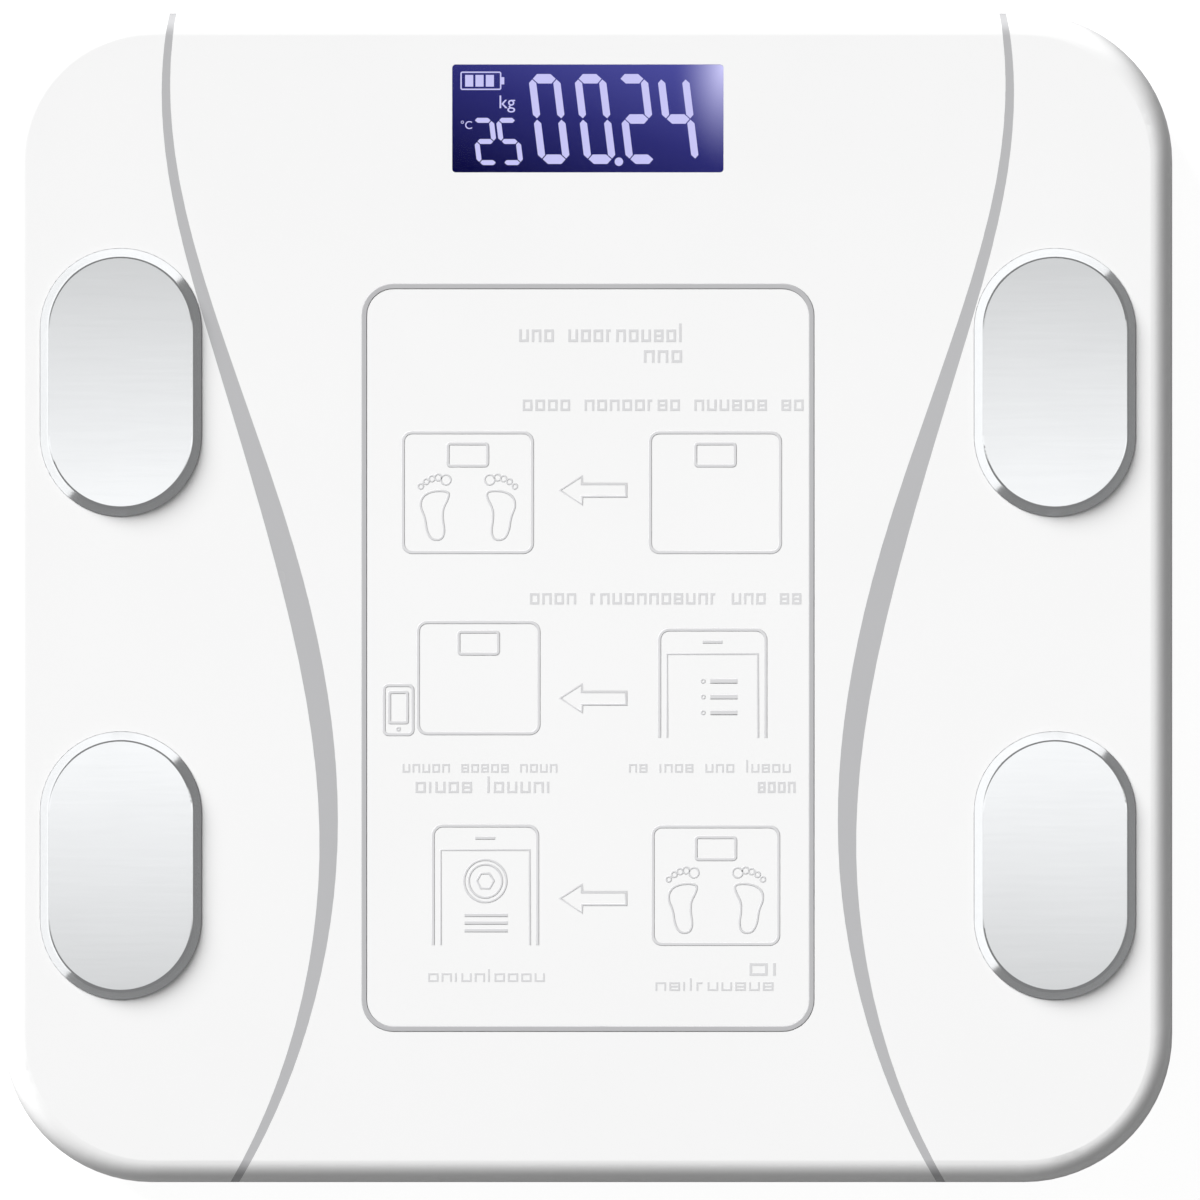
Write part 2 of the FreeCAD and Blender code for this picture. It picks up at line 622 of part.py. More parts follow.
def base_cover():
    body = new_body("base_blank")
    outline = sketch_on(body, "ground_gap")
    casing_outline(outline, "0")
    pad(body, outline, "base_height")
    fillet(body, "ground_gap", "base_round")
    cavity = sketch_on(body, FLOOR)
    inner = "wall_thickness + lip_clearance + lip_thickness"
    casing_outline(cavity, inner)
    pocket(body, cavity, f"{RIM} - {FLOOR}")
    lip = sketch_on(body, RIM)
    casing_outline(lip, "wall_thickness + lip_clearance")
    casing_outline(lip, inner)
    pad(body, lip, "lip_height")

    collars = sketch_on(body, FLOOR)
    for side, end in CORNERS.values():
        bore = "foot_diameter + 2 * foot_flange + 2 * foot_clearance"
        draw_circle(collars, *foot_place(side, end), bore)
        draw_circle(collars, *foot_place(side, end), f"{bore} + 2 * collar_wall")
    pad(body, collars, "collar_height")
    openings = sketch_on(body, "ground_gap")
    for side, end in CORNERS.values():
        draw_circle(openings, *foot_place(side, end), "foot_diameter + 2 * foot_clearance")
    pocket(body, openings, "floor_thickness")

    bosses = sketch_on(body, FLOOR)
    for x, y in screw_places():
        draw_circle(bosses, x, y, "boss_diameter + 2 * screw_clearance")
    pad(body, bosses, f"{BOSS_LEVEL} - {FLOOR}")
    heads = sketch_on(body, "ground_gap")
    for x, y in screw_places():
        draw_circle(heads, x, y, "screw_head + 2 * screw_clearance")
    pocket(body, heads, "screw_sink + screw_head_height")
    shanks = sketch_on(body, "ground_gap")
    for x, y in screw_places():
        draw_circle(shanks, x, y, "screw_thread + 2 * screw_clearance")
    pocket(body, shanks, f"{BOSS_LEVEL} - ground_gap")

    frame = sketch_on(body, FLOOR)
    rim = "2 * (door_clearance + door_frame)"
    draw_rectangle(frame, "0", "0", f"{DOOR_LENGTH} + {rim}", f"{DOOR_WIDTH} + {rim}")
    groove_top = f"({HINGE_Z} + knuckle_radius + door_clearance)"
    frame_top = f"({groove_top} + bay_wall)"
    pad(body, frame, f"{frame_top} - {FLOOR}")
    bay = sketch_on(body, frame_top)
    draw_rectangle(bay, "0", "0", f"{BAY_LENGTH} + 2 * bay_wall", f"{BAY_WIDTH} + 2 * bay_wall")
    pad(body, bay, f"{BAY_TOP} + bay_wall - {frame_top}")
    opening = sketch_on(body, "ground_gap")
    draw_rectangle(opening, "0", "0", f"{DOOR_LENGTH} + 2 * door_clearance",
                   f"{DOOR_WIDTH} + 2 * door_clearance")
    pocket(body, opening, f"{LEDGE} - ground_gap")
    hollow = sketch_on(body, LEDGE)
    draw_rectangle(hollow, "0", "0", BAY_LENGTH, BAY_WIDTH)
    pocket(body, hollow, f"{BAY_TOP} - {LEDGE}")
    groove = sketch_on(body, LEDGE)
    draw_rectangle(groove, "0", HINGE_Y, f"{DOOR_LENGTH} + 2 * door_clearance",
                   "2 * (knuckle_radius + door_clearance)")
    pocket(body, groove, f"{groove_top} - {LEDGE}")

    button = sketch_on(body, "ground_gap")
    draw_circle(button, "0", WINDOW_Y, "button_diameter + 2 * button_clearance")
    pocket(body, button, "floor_thickness")
    pivots = rod_along_x("hinge_holes", "hinge_pin + 2 * hinge_clearance",
                         f"{DOOR_LENGTH} + 2 * (hinge_reach + door_clearance)",
                         (f"-{DOOR_LENGTH} / 2 - hinge_reach - door_clearance", HINGE_Y, HINGE_Z))
    keep(cut("base_cover", body, [pivots]), "base_cover")


# Electrodes


def electrode(label, side, end):
    x, y = electrode_place(side, end)
    body = new_body(label + "_shell")
    upright = sketch_on(body, f"{DECK} - electrode_sink")
    draw_stadium(upright, x, y, "electrode_width", "electrode_length")
    pad(body, upright, "electrode_sink + electrode_step")
    slope = sketch_on(body, f"{DECK} + electrode_step")
    draw_stadium(slope, x, y, "electrode_width", "electrode_length")
    tapered(body, slope, "electrode_rise - electrode_step", "electrode_slope")
    fillet(body, f"{DECK} + electrode_rise", "electrode_bend")
    inside = "electrode_width - 2 * steel_thickness", "electrode_length - 2 * steel_thickness"
    hollow = sketch_on(body, f"{DECK} - electrode_sink")
    draw_stadium(hollow, x, y, *inside)
    pocket(body, hollow, "electrode_sink + electrode_step - steel_thickness / 2")
    under = sketch_on(body, f"{DECK} + electrode_step - steel_thickness / 2")
    draw_stadium(under, x, y, *inside)
    rise = "electrode_rise - electrode_step - steel_thickness / 2"
    feature = pocket(body, under, rise)
    feature.setExpression("TaperAngle", sized(f"-atan(electrode_slope / ({rise}))"))
    document.recompute()
    stud = rod(label + "_stud", "stud_diameter", "stud_length", (x, y), f"{STUD_TOP} - stud_length")
    keep(fuse(label, [body, stud]), label)


def electrode_glue():
    films = []
    for name, (side, end) in CORNERS.items():
        x, y = electrode_place(side, end)
        inset = "2 * (steel_thickness + electrode_slope + electrode_clearance)"
        body = new_body("film_" + name)
        outline = sketch_on(body, f"{STUD_TOP} - glue_thickness")
        draw_stadium(outline, x, y, f"electrode_width - {inset}", f"electrode_length - {inset}")
        draw_circle(outline, x, y, "stud_diameter + 2 * stud_clearance")
        pad(body, outline, "glue_thickness")
        films.append(body)
    keep(group("electrode_glue", films), "electrode_glue")


def electrode_fixings():
    nuts, terminals = [], []
    for name, (side, end) in CORNERS.items():
        x, y = electrode_place(side, end)
        under = f"({CEILING} - terminal_thickness)"
        nut = document.addObject("Part::Prism", "nut_" + name)
        nut.Polygon = 6
        bind(nut, Circumradius="nut_width / sqrt(3)", Height="nut_height")
        place(nut, x, y, f"{under} - nut_height")
        shank = rod("thread_" + name, "stud_diameter", "nut_height", (x, y),
                    f"{under} - nut_height")
        nuts.append(cut("threaded_nut_" + name, nut, [shank]))
        ring = rod("ring_" + name, "terminal_diameter", "terminal_thickness", (x, y), under)
        near = "(nut_width / sqrt(3) + nut_clearance)"
        strap = block("strap_" + name, ("barrel_reach", "barrel_diameter / 2", "terminal_thickness"),
                      (f"{x} - ({side}) * barrel_reach / 2", y), under)
        start = f"{x} - barrel_reach" if side > 0 else f"{x} + {near}"
        barrel = rod_along_x("barrel_" + name, "barrel_diameter", f"barrel_reach - {near}",
                             (start, y, f"{CEILING} - barrel_diameter / 2"))
        hole = rod("eye_" + name, "stud_diameter", "terminal_thickness", (x, y), under)
        tongue = fuse("tongue_" + name, [ring, strap, barrel])
        terminals.append(cut("terminal_" + name, tongue, [hole]))
    keep(group("electrode_nuts", nuts), "electrode_nuts")
    keep(group("ring_terminals", terminals), "ring_terminals")


# Display and board


def plate(label, width, depth, bottom, height, radius=None, centre=("0", WINDOW_Y)):
    body = new_body(label)
    outline = sketch_on(body, bottom)
    if radius:
        draw_rounded(outline, *centre, width, depth, radius)
    else:
        draw_rectangle(outline, *centre, width, depth)
    pad(body, outline, height)
    return body


def display_lens():
    body = plate("display_lens", "window_width + 2 * lens_flange",
                 "window_height + 2 * lens_flange", LENS, "flange_thickness", "lens_flange")
    raised = sketch_on(body, f"{LENS} + flange_thickness")
    draw_rounded(raised, "0", WINDOW_Y, "window_width - 2 * lens_clearance",
                 "window_height - 2 * lens_clearance", "window_round - lens_clearance")
    pad(body, raised, "deck_thickness + glue_thickness")
    keep(body, "display_lens")
    tape = plate("lens_tape", "window_width + 2 * lens_flange",
                 "window_height + 2 * lens_flange", f"{CEILING} - glue_thickness",
                 "glue_thickness", "lens_flange")
    hole = sketch_on(tape, f"{CEILING} - glue_thickness")
    draw_rectangle(hole, "0", WINDOW_Y, "window_width + lens_flange / 2",
                   "window_height + lens_flange / 2")
    pocket(tape, hole, "glue_thickness")
    keep(tape, "lens_tape")


def display_stack():
    keep(plate("display_glass", "window_width + 2 * glass_margin",
               "window_height + 2 * glass_margin", GLASS, "glass_thickness"), "display_glass")
    keep(plate("backlight_guide", "window_width + 2 * light_margin",
               "window_height + 2 * light_margin", BOARD_TOP, "light_thickness"),
         "backlight_guide")
    offset = "(window_height / 2 + (light_margin + glass_margin) / 2)"
    strips = [block(f"strip_{end}", ("window_width", "strip_width", "light_thickness"),
                    ("0", f"{WINDOW_Y} + ({end}) * {offset}"), BOARD_TOP) for end in (-1, 1)]
    keep(group("connector_strips", strips), "connector_strips")
    holder = plate("display_holder", HOLDER_WIDTH, HOLDER_DEPTH, BOARD_TOP,
                   f"{LENS} - holder_gap - {BOARD_TOP}")
    room = sketch_on(holder, BOARD_TOP)
    draw_rectangle(room, "0", WINDOW_Y, f"{HOLDER_WIDTH} - 2 * holder_wall",
                   f"{HOLDER_DEPTH} - 2 * holder_wall")
    pocket(holder, room, "light_thickness + glass_thickness")
    sight = sketch_on(holder, f"{GLASS} + glass_thickness")
    trim = "2 * (glass_margin - holder_overlap)"
    draw_rectangle(sight, "0", WINDOW_Y, f"window_width + {trim}", f"window_height + {trim}")
    pocket(holder, sight, "holder_lip")
    keep(holder, "display_holder")


def main_board():
    board = plate("main_board", BOARD_WIDTH, BOARD_DEPTH, BOARD, "board_thickness", "window_round")
    holes = sketch_on(board, BOARD)
    for x, y in board_screw_places():
        draw_circle(holes, x, y, "small_thread + 2 * stud_clearance")
    pocket(board, holes, "board_thickness")
    keep(board, "main_board")

    under = f"({BOARD} - socket_height)"
    edge = f"({WINDOW_Y} - {BOARD_DEPTH} / 2 + socket_inset + socket_depth / 2)"
    side = f"({BOARD_WIDTH} / 2 - 2 * socket_inset - socket_depth / 2)"
    sockets = [block("socket_battery", ("socket_width", "socket_depth", "socket_height"),
                     ("0", edge), under)]
    for hand in (-1, 1):
        sockets.append(block(f"socket_row_{hand}",
                             ("socket_row", "socket_depth", "socket_height"),
                             (f"({hand}) * socket_offset", edge), under))
        sockets.append(block(f"socket_side_{hand}",
                             ("socket_depth", "socket_width", "socket_height"),
                             (f"({hand}) * {side}", f"{WINDOW_Y} - socket_width"), under))
    keep(group("lead_sockets", sockets), "lead_sockets")
    keep(block("controller_chip", ("chip_size", "chip_size", "chip_height"),
               ("-chip_offset", f"{WINDOW_Y} + chip_size / 2"), f"{BOARD} - chip_height"),
         "controller_chip")
    keep(block("radio_module", ("radio_length", "chip_size", "chip_height"),
               ("chip_offset", f"{WINDOW_Y} + chip_size / 2"), f"{BOARD} - chip_height"),
         "radio_module")

    screws = []
    for number, (x, y) in enumerate(board_screw_places(), start=1):
        head = rod(f"small_head_{number}", "small_head", "small_head_height", (x, y),
                   f"{BOARD} - small_head_height")
        thread = rod(f"small_thread_{number}", "small_thread", "small_length", (x, y), BOARD)
        screws.append(fuse(f"small_screw_{number}", [head, thread]))
    keep(group("board_screws", screws), "board_screws")


def unit_button():
    middle = ("0", WINDOW_Y)
    housing = block("switch_box", ("switch_size", "switch_size", "switch_height"), middle,
                    f"{BOARD} - switch_height")
    well = rod("switch_well", "plunger_diameter + button_clearance",
               "plunger_length - plunger_reach + plunger_travel", middle,
               f"{BOARD} - switch_height")
    keep(cut("push_switch", housing, [well]), "push_switch")
    keep(rod("switch_plunger", "plunger_diameter", "plunger_length", middle, PLUNGER),
         "switch_plunger")
    flange_bottom = f"({FLOOR} + button_lift)"
    face = rod("button_face", "button_diameter",
               f"{flange_bottom} - ground_gap - button_recess", middle,
               "ground_gap + button_recess")
    flange = rod("button_flange_ring", "button_diameter + 2 * button_flange",
                 f"{PLUNGER} - {flange_bottom}", middle, flange_bottom)
    keep(fuse("unit_button", [face, flange]), "unit_button")


# Feet


def foot(name, side, end):
    x, y = foot_place(side, end)
    cup_bottom = "(sole_thickness - sole_sink)"
    flange_bottom = f"({FLOOR} + foot_lift)"
    body = new_body("foot_cup_" + name)
    outline = sketch_on(body, cup_bottom)
    draw_circle(outline, x, y, "foot_diameter")
    pad(body, outline, f"{flange_bottom} - {cup_bottom}")
    fillet(body, cup_bottom, "foot_flange / 2")
    flange = sketch_on(body, flange_bottom)
    draw_circle(flange, x, y, "foot_diameter + 2 * foot_flange")
    pad(body, flange, "foot_flange_height")
    dish = sketch_on(body, f"{flange_bottom} + foot_flange_height")
    draw_circle(dish, x, y, "foot_diameter - 2 * foot_flange")
    pocket(body, dish, "foot_dish", up=False)
    post = sketch_on(body, f"{flange_bottom} + foot_flange_height - foot_dish")
    draw_circle(post, x, y, "pin_diameter")
    pad(body, post, f"{CELL} - pin_gap - {flange_bottom} - foot_flange_height + foot_dish")
    recess = sketch_on(body, cup_bottom)
    draw_circle(recess, x, y, "sole_diameter")
    pocket(body, recess, "sole_sink")
    keep(body, "foot_cup_" + name)

    sole = new_body("foot_sole_" + name)
    disc = sketch_on(sole, "0")
    draw_circle(disc, x, y, "sole_diameter")
    pad(sole, disc, "sole_thickness")
    fillet(sole, "0", "sole_sink / 2")
    keep(sole, "foot_sole_" + name)


def load_cell(name, side, end):
    x, y = foot_place(side, end)
    label = "load_cell_" + name
    inner = "(sensor_size - 2 * sensor_rim)"
    sheet_metal = plate(label, "sensor_size", "sensor_size", CELL, "sensor_thickness",
                        "seat_wall", (x, y))
    slots = sketch_on(sheet_metal, CELL)
    draw_rectangle(slots, x, f"{y} - {inner} / 2 + sensor_slot / 2", inner, "sensor_slot")
    pocket(sheet_metal, slots, "sensor_thickness")
    for hand in (-1, 1):
        flank = sketch_on(sheet_metal, CELL)
        draw_rectangle(flank, f"{x} + ({hand}) * ({inner} / 2 - sensor_slot / 2)",
                       f"{y} + sensor_slot / 2", "sensor_slot", f"{inner} - sensor_slot")
        pocket(sheet_metal, flank, "sensor_thickness")
    keep(sheet_metal, label)


# Battery bay


def battery(number):
    # The middle cell points the other way, so the three stand in series.
    way = -1 if number == 2 else 1
    y = f"({number - 2}) * (battery_diameter + battery_gap)"
    barrel = "(battery_length - nub_height)"
    end = f"(-({way}) * ({BAY_LENGTH} / 2 - leaf_reach - end_play))"
    start = end if way > 0 else f"({end} - {barrel})"
    can = rod_along_x(f"can_{number}", "battery_diameter", barrel, (start, y, BATTERY_Z))
    nub_start = f"({end} + {barrel})" if way > 0 else f"({end} - {barrel} - nub_height)"
    nub = rod_along_x(f"nub_{number}", "nub_diameter", "nub_height", (nub_start, y, BATTERY_Z))
    keep(fuse(f"battery_{number}", [can, nub]), f"battery_{number}")


def leaf_contact(number):
    # A strip folded into a wedge: one leg lies on the end wall, the other presses the cell.
    way = -1 if number == 2 else 1
    wall = value(f"{BAY_LENGTH} / 2")
    reach, skin = value("leaf_reach"), value("contact_sheet")
    half, crest = value("contact_height") / 2, value("leaf_crest")
    middle = value(BATTERY_Z)
    outline = [(0, -half), (skin, -half), (reach, 0), (reach, crest), (reach - skin, crest),
               (reach - skin, 0), (skin, -half + 2 * skin), (skin, half), (0, half)]
    corners = [Vector(-way * (wall - across), 0, middle + up) for across, up in outline]
    face = Part.Face(Part.makePolygon(corners + corners[:1]))
    width = value("contact_width")
    solid = document.addObject("Part::Feature", f"leaf_{number}")
    solid.Shape = face.extrude(Vector(0, width, 0))
    y = (number - 2) * value("battery_diameter + battery_gap") - width / 2
    solid.Placement = Placement(Vector(0, y, 0), Rotation())
    return solid


def battery_contacts():
    keep(group("battery_leaves", [leaf_contact(n) for n in (1, 2, 3)]), "battery_leaves")
    plates = []
    for number in (1, 2, 3):
        way = -1 if number == 2 else 1
        plates.append(block(f"contact_plate_{number}",
                            ("contact_sheet", "contact_width", "contact_height"),
                            (f"({way}) * ({BAY_LENGTH} / 2 - contact_sheet / 2)",
                             f"({number - 2}) * (battery_diameter + battery_gap)"),
                            f"{BATTERY_Z} - contact_height / 2"))
    keep(group("battery_plates", plates), "battery_plates")


def battery_door():
    panel = block("door_panel", (DOOR_LENGTH, f"{DOOR_WIDTH} - knuckle_radius", "door_thickness"),
                  ("0", "knuckle_radius / 2"), "ground_gap")
    knuckle = rod_along_x("door_knuckle", "2 * knuckle_radius", DOOR_LENGTH,
                          (f"-{DOOR_LENGTH} / 2", HINGE_Y, HINGE_Z))
    pins = rod_along_x("door_pins", "hinge_pin", f"{DOOR_LENGTH} + 2 * hinge_reach",
                       (f"-{DOOR_LENGTH} / 2 - hinge_reach", HINGE_Y, HINGE_Z))
    slots = [block(f"latch_slot_{hand}", ("latch_slot", "latch_length", "door_thickness"),
                   (f"({hand}) * (latch_width + latch_slot) / 2",
                    f"{DOOR_WIDTH} / 2 - latch_length / 2"), "ground_gap")
             for hand in (-1, 1)]
    keep(cut("battery_door", fuse("door_blank", [panel, knuckle, pins]), slots), "battery_door")


# Fasteners and leads


def case_screws():
    screws = []
    for number, (x, y) in enumerate(screw_places(), start=1):
        seat = "(ground_gap + screw_sink + screw_head_height)"
        head = rod(f"head_{number}", "screw_head", "screw_head_height", (x, y),
                   "ground_gap + screw_sink")
        shank = rod(f"shank_{number}", "screw_thread", "screw_length", (x, y), seat)
        recess = [block(f"cross_{number}_{turn}", (*slot, "cross_depth"), (x, y),
                        "ground_gap + screw_sink")
                  for turn, slot in enumerate((("cross_length", "cross_width"),
                                               ("cross_width", "cross_length")))]
        screws.append(cut(f"screw_{number}", fuse(f"screw_blank_{number}", [head, shank]), recess))
    keep(group("case_screws", screws), "case_screws")


def lead(label, points, diameter):
    # Straight runs joined by tangent arcs, each as large as its two runs allow.
    points = [Vector(*point) for point in points]
    edges, radii = [], []
    start = points[0]
    for before, corner, after in zip(points, points[1:], points[2:]):
        inward, outward = (before - corner).normalize(), (after - corner).normalize()
        half_turn = (math.pi - inward.getAngle(outward)) / 2
        trim = 0.45 * min((before - corner).Length, (after - corner).Length)
        radius = trim / math.tan(half_turn)
        rise = radius / math.cos(half_turn) - radius
        entry, leave = corner + inward * trim, corner + outward * trim
        crown = corner + (inward + outward).normalize() * rise
        edges += [Part.LineSegment(start, entry).toShape(), Part.Arc(entry, crown, leave).toShape()]
        radii.append(radius)
        start = leave
    edges.append(Part.LineSegment(start, points[-1]).toShape())
    path = Part.Wire(edges)
    heading = points[1] - points[0]
    ring = Part.Wire(Part.Circle(points[0], heading, diameter / 2).toShape())
    tube = path.makePipeShell([ring], True, False)
    expected = math.pi * diameter ** 2 / 4 * path.Length
    print(f"{label}: {path.Length:.1f} long, radii {[round(r, 1) for r in radii]},"
          f" volume {tube.Volume / expected:.4f} of section times length")
    solid = document.addObject("Part::Feature", label)
    solid.Shape = tube
    keep(solid, label)


def leads():
    for name, points in LEAD_ROUTES.items():
        size = "cell_lead_diameter" if name.startswith("cell") else "wire_diameter"
        for hand, side in ((-1, "left"), (1, "right")):
            lead(f"{name}_{side}", [(hand * x, y, z) for x, y, z in points], value(size))
    lead("battery_lead", BATTERY_ROUTE, value("battery_lead_diameter"))


def main():
    skin = cut("casing_skin", casing_form("skin_outside", "0"),
               [casing_form("skin_inside", "line_depth")])
    holds = new_body("electrode_holds")
    around = sketch_on(holds, f"{DECK} - electrode_sink")
    electrode_outline(around, "-electrode_clearance")
    pad(holds, around, "electrode_sink")
    inlays = [line_inlay("line_inlay_left", -1, skin, holds),
              line_inlay("line_inlay_right", 1, skin, holds)]
    top_cover(inlays)
    base_cover()
    for name, (side, end) in CORNERS.items():
        electrode("electrode_" + name, side, end)
        foot(name, side, end)
        load_cell(name, side, end)
    electrode_glue()
    electrode_fixings()
    display_lens()
    display_stack()
    main_board()
    unit_button()
    for number in (1, 2, 3):
        battery(number)
    battery_contacts()
    battery_door()
    case_screws()
    leads()

    document.recompute()
    for thing in document.Objects:
        if "Invalid" in thing.State or "Error" in thing.State:
            raise ValueError(f"{thing.Label} failed: {thing.State}")
    for node in nodes:
        if node.Shape.isNull() or not node.Shape.isValid() or not node.Shape.Solids:
            raise ValueError(f"{node.Label} has no valid solid")
    os.makedirs("parts", exist_ok=True)
    for node in nodes:
        node.Shape.exportStep(f"parts/{node.Label}.step")
    print(f"{len(nodes)} nodes written")


main()
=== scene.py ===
import json
import math
import random

import bmesh
import bpy
from mathutils import Matrix, Vector


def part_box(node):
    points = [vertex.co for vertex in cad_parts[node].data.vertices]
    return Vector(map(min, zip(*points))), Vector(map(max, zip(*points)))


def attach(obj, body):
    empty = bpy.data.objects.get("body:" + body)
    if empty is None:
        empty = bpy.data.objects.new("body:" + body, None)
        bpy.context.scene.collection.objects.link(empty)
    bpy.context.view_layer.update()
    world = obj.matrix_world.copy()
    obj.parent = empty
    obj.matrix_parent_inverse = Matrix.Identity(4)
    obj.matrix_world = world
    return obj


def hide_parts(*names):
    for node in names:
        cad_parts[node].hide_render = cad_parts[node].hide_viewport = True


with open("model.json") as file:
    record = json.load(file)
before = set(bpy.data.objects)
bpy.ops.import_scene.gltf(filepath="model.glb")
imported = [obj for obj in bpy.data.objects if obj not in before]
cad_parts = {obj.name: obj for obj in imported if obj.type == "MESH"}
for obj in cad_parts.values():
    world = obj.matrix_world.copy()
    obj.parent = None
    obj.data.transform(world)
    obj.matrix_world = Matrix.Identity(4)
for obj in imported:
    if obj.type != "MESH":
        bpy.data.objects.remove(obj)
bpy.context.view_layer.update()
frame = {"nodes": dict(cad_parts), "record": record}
nodes = frame["nodes"]
milli = 0.001  # drawings below are in millimetres, the scene is in metres
plateau = 0.0012  # the plateaus under the electrodes stand this proud of the deck
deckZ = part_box("top_cover")[1].z - plateau
print("frame loaded:", len(nodes), "nodes, deck at", round(deckZ, 5))


# Stage

camera = {"lens": 500.0, "frameWidth": 267.1, "aimX": 2.7, "aimY": -0.5, "level": 17.0}
sun = {"from": (-1.0, 1.05, 0.72), "strength": 6.05, "spread": 32.0}  # upper left, low over the deck
overhead = {"height": 1.25, "width": 2.0, "depth": 0.66, "middle": -0.01, "strength": 1.5, "edge": 0.2,
            "core": 0.0, "fade": 0.2}
sideCard = {"distance": 1.3, "width": 2.6, "height": 1.5, "strength": 1.2}
floorLook = {"size": 6.0, "glow": 0.9, "paint": 0.35, "bounce": 0.06, "under": 0.6, "underReach": 0.121}
worldGrey = 0.24


def nodeTree(material):
    material.use_nodes = True
    tree = material.node_tree
    tree.nodes.clear()
    return tree


def makeCamera():
    data = bpy.data.cameras.new("camera")
    data.lens = camera["lens"]
    distance = camera["frameWidth"] * milli * data.lens / data.sensor_width
    cameraObject = bpy.data.objects.new("camera", data)
    level = camera["level"] * milli + distance
    cameraObject.location = (camera["aimX"] * milli, camera["aimY"] * milli, level)
    bpy.context.scene.collection.objects.link(cameraObject)
    bpy.context.scene.camera = cameraObject


def makeFloor():
    mesh = bpy.data.meshes.new("floor")
    bm = bmesh.new()
    bmesh.ops.create_grid(bm, x_segments=1, y_segments=1, size=floorLook["size"] / 2)
    bm.to_mesh(mesh)
    bm.free()
    floor = bpy.data.objects.new("floor", mesh)
    bpy.context.scene.collection.objects.link(floor)
    material = bpy.data.materials.new("floorPaper")
    tree = nodeTree(material)
    paper = tree.nodes.new("ShaderNodeBsdfDiffuse")
    paper.inputs["Color"].default_value = (floorLook["paint"],) * 3 + (1,)
    glow = tree.nodes.new("ShaderNodeEmission")
    where = tree.nodes.new("ShaderNodeTexCoord")
    size = tree.nodes.new("ShaderNodeVectorMath")
    size.operation = "ABSOLUTE"
    parts = tree.nodes.new("ShaderNodeSeparateXYZ")
    far = tree.nodes.new("ShaderNodeMath")
    far.operation = "MAXIMUM"
    under = tree.nodes.new("ShaderNodeMath")
    under.operation = "LESS_THAN"
    under.inputs[1].default_value = floorLook["underReach"]
    bounce = tree.nodes.new("ShaderNodeMapRange")  # brighter below the scale, to show its underside
    bounce.inputs["To Min"].default_value = floorLook["bounce"]
    bounce.inputs["To Max"].default_value = floorLook["under"]
    tree.links.new(where.outputs["Object"], size.inputs[0])
    tree.links.new(size.outputs[0], parts.inputs[0])
    tree.links.new(parts.outputs["X"], far.inputs[0])
    tree.links.new(parts.outputs["Y"], far.inputs[1])
    tree.links.new(far.outputs[0], under.inputs[0])
    tree.links.new(under.outputs[0], bounce.inputs["Value"])
    seen = tree.nodes.new("ShaderNodeLightPath")  # the paper glows less for the scale than the camera
    level = tree.nodes.new("ShaderNodeMapRange")
    level.inputs["To Max"].default_value = floorLook["glow"]
    tree.links.new(bounce.outputs["Result"], level.inputs["To Min"])
    tree.links.new(seen.outputs["Is Camera Ray"], level.inputs["Value"])
    tree.links.new(level.outputs["Result"], glow.inputs["Strength"])
    both = tree.nodes.new("ShaderNodeAddShader")
    clear = tree.nodes.new("ShaderNodeBsdfTransparent")
    geometry = tree.nodes.new("ShaderNodeNewGeometry")
    sided = tree.nodes.new("ShaderNodeMixShader")  # seen from below the floor is clear
    out = tree.nodes.new("ShaderNodeOutputMaterial")
    tree.links.new(paper.outputs[0], both.inputs[0])
    tree.links.new(glow.outputs[0], both.inputs[1])
    tree.links.new(geometry.outputs["Backfacing"], sided.inputs[0])
    tree.links.new(both.outputs[0], sided.inputs[1])
    tree.links.new(clear.outputs[0], sided.inputs[2])
    tree.links.new(sided.outputs[0], out.inputs[0])
    mesh.materials.append(material)


def makeOverhead():
    # A long soft box over the scale, brightest along its middle line.
    mesh = bpy.data.meshes.new("overhead")
    bm = bmesh.new()
    bmesh.ops.create_grid(bm, x_segments=1, y_segments=1, size=0.5)
    bmesh.ops.scale(bm, vec=(overhead["width"], overhead["depth"], 1), verts=bm.verts)
    bmesh.ops.translate(bm, vec=(0, 0, overhead["height"]), verts=bm.verts)
    bm.to_mesh(mesh)
    bm.free()
    box = bpy.data.objects.new("overhead", mesh)
    bpy.context.scene.collection.objects.link(box)
    material = bpy.data.materials.new("overheadGlow")
    tree = nodeTree(material)
    where = tree.nodes.new("ShaderNodeTexCoord")
    parts = tree.nodes.new("ShaderNodeSeparateXYZ")
    away = tree.nodes.new("ShaderNodeMath")
    away.operation = "SUBTRACT"
    away.inputs[1].default_value = overhead["middle"]
    size = tree.nodes.new("ShaderNodeMath")
    size.operation = "ABSOLUTE"
    fade = tree.nodes.new("ShaderNodeMapRange")
    fade.inputs["From Min"].default_value = overhead["core"]
    fade.inputs["From Max"].default_value = overhead["fade"]
    fade.inputs["To Min"].default_value = overhead["strength"]
    fade.inputs["To Max"].default_value = overhead["edge"]
    glow = tree.nodes.new("ShaderNodeEmission")
    out = tree.nodes.new("ShaderNodeOutputMaterial")
    tree.links.new(where.outputs["Object"], parts.inputs[0])
    tree.links.new(parts.outputs["Y"], away.inputs[0])
    tree.links.new(away.outputs[0], size.inputs[0])
    tree.links.new(size.outputs[0], fade.inputs["Value"])
    tree.links.new(fade.outputs["Result"], glow.inputs["Strength"])
    tree.links.new(glow.outputs[0], out.inputs[0])
    mesh.materials.append(material)
    box.visible_camera = False
    box.visible_diffuse = False


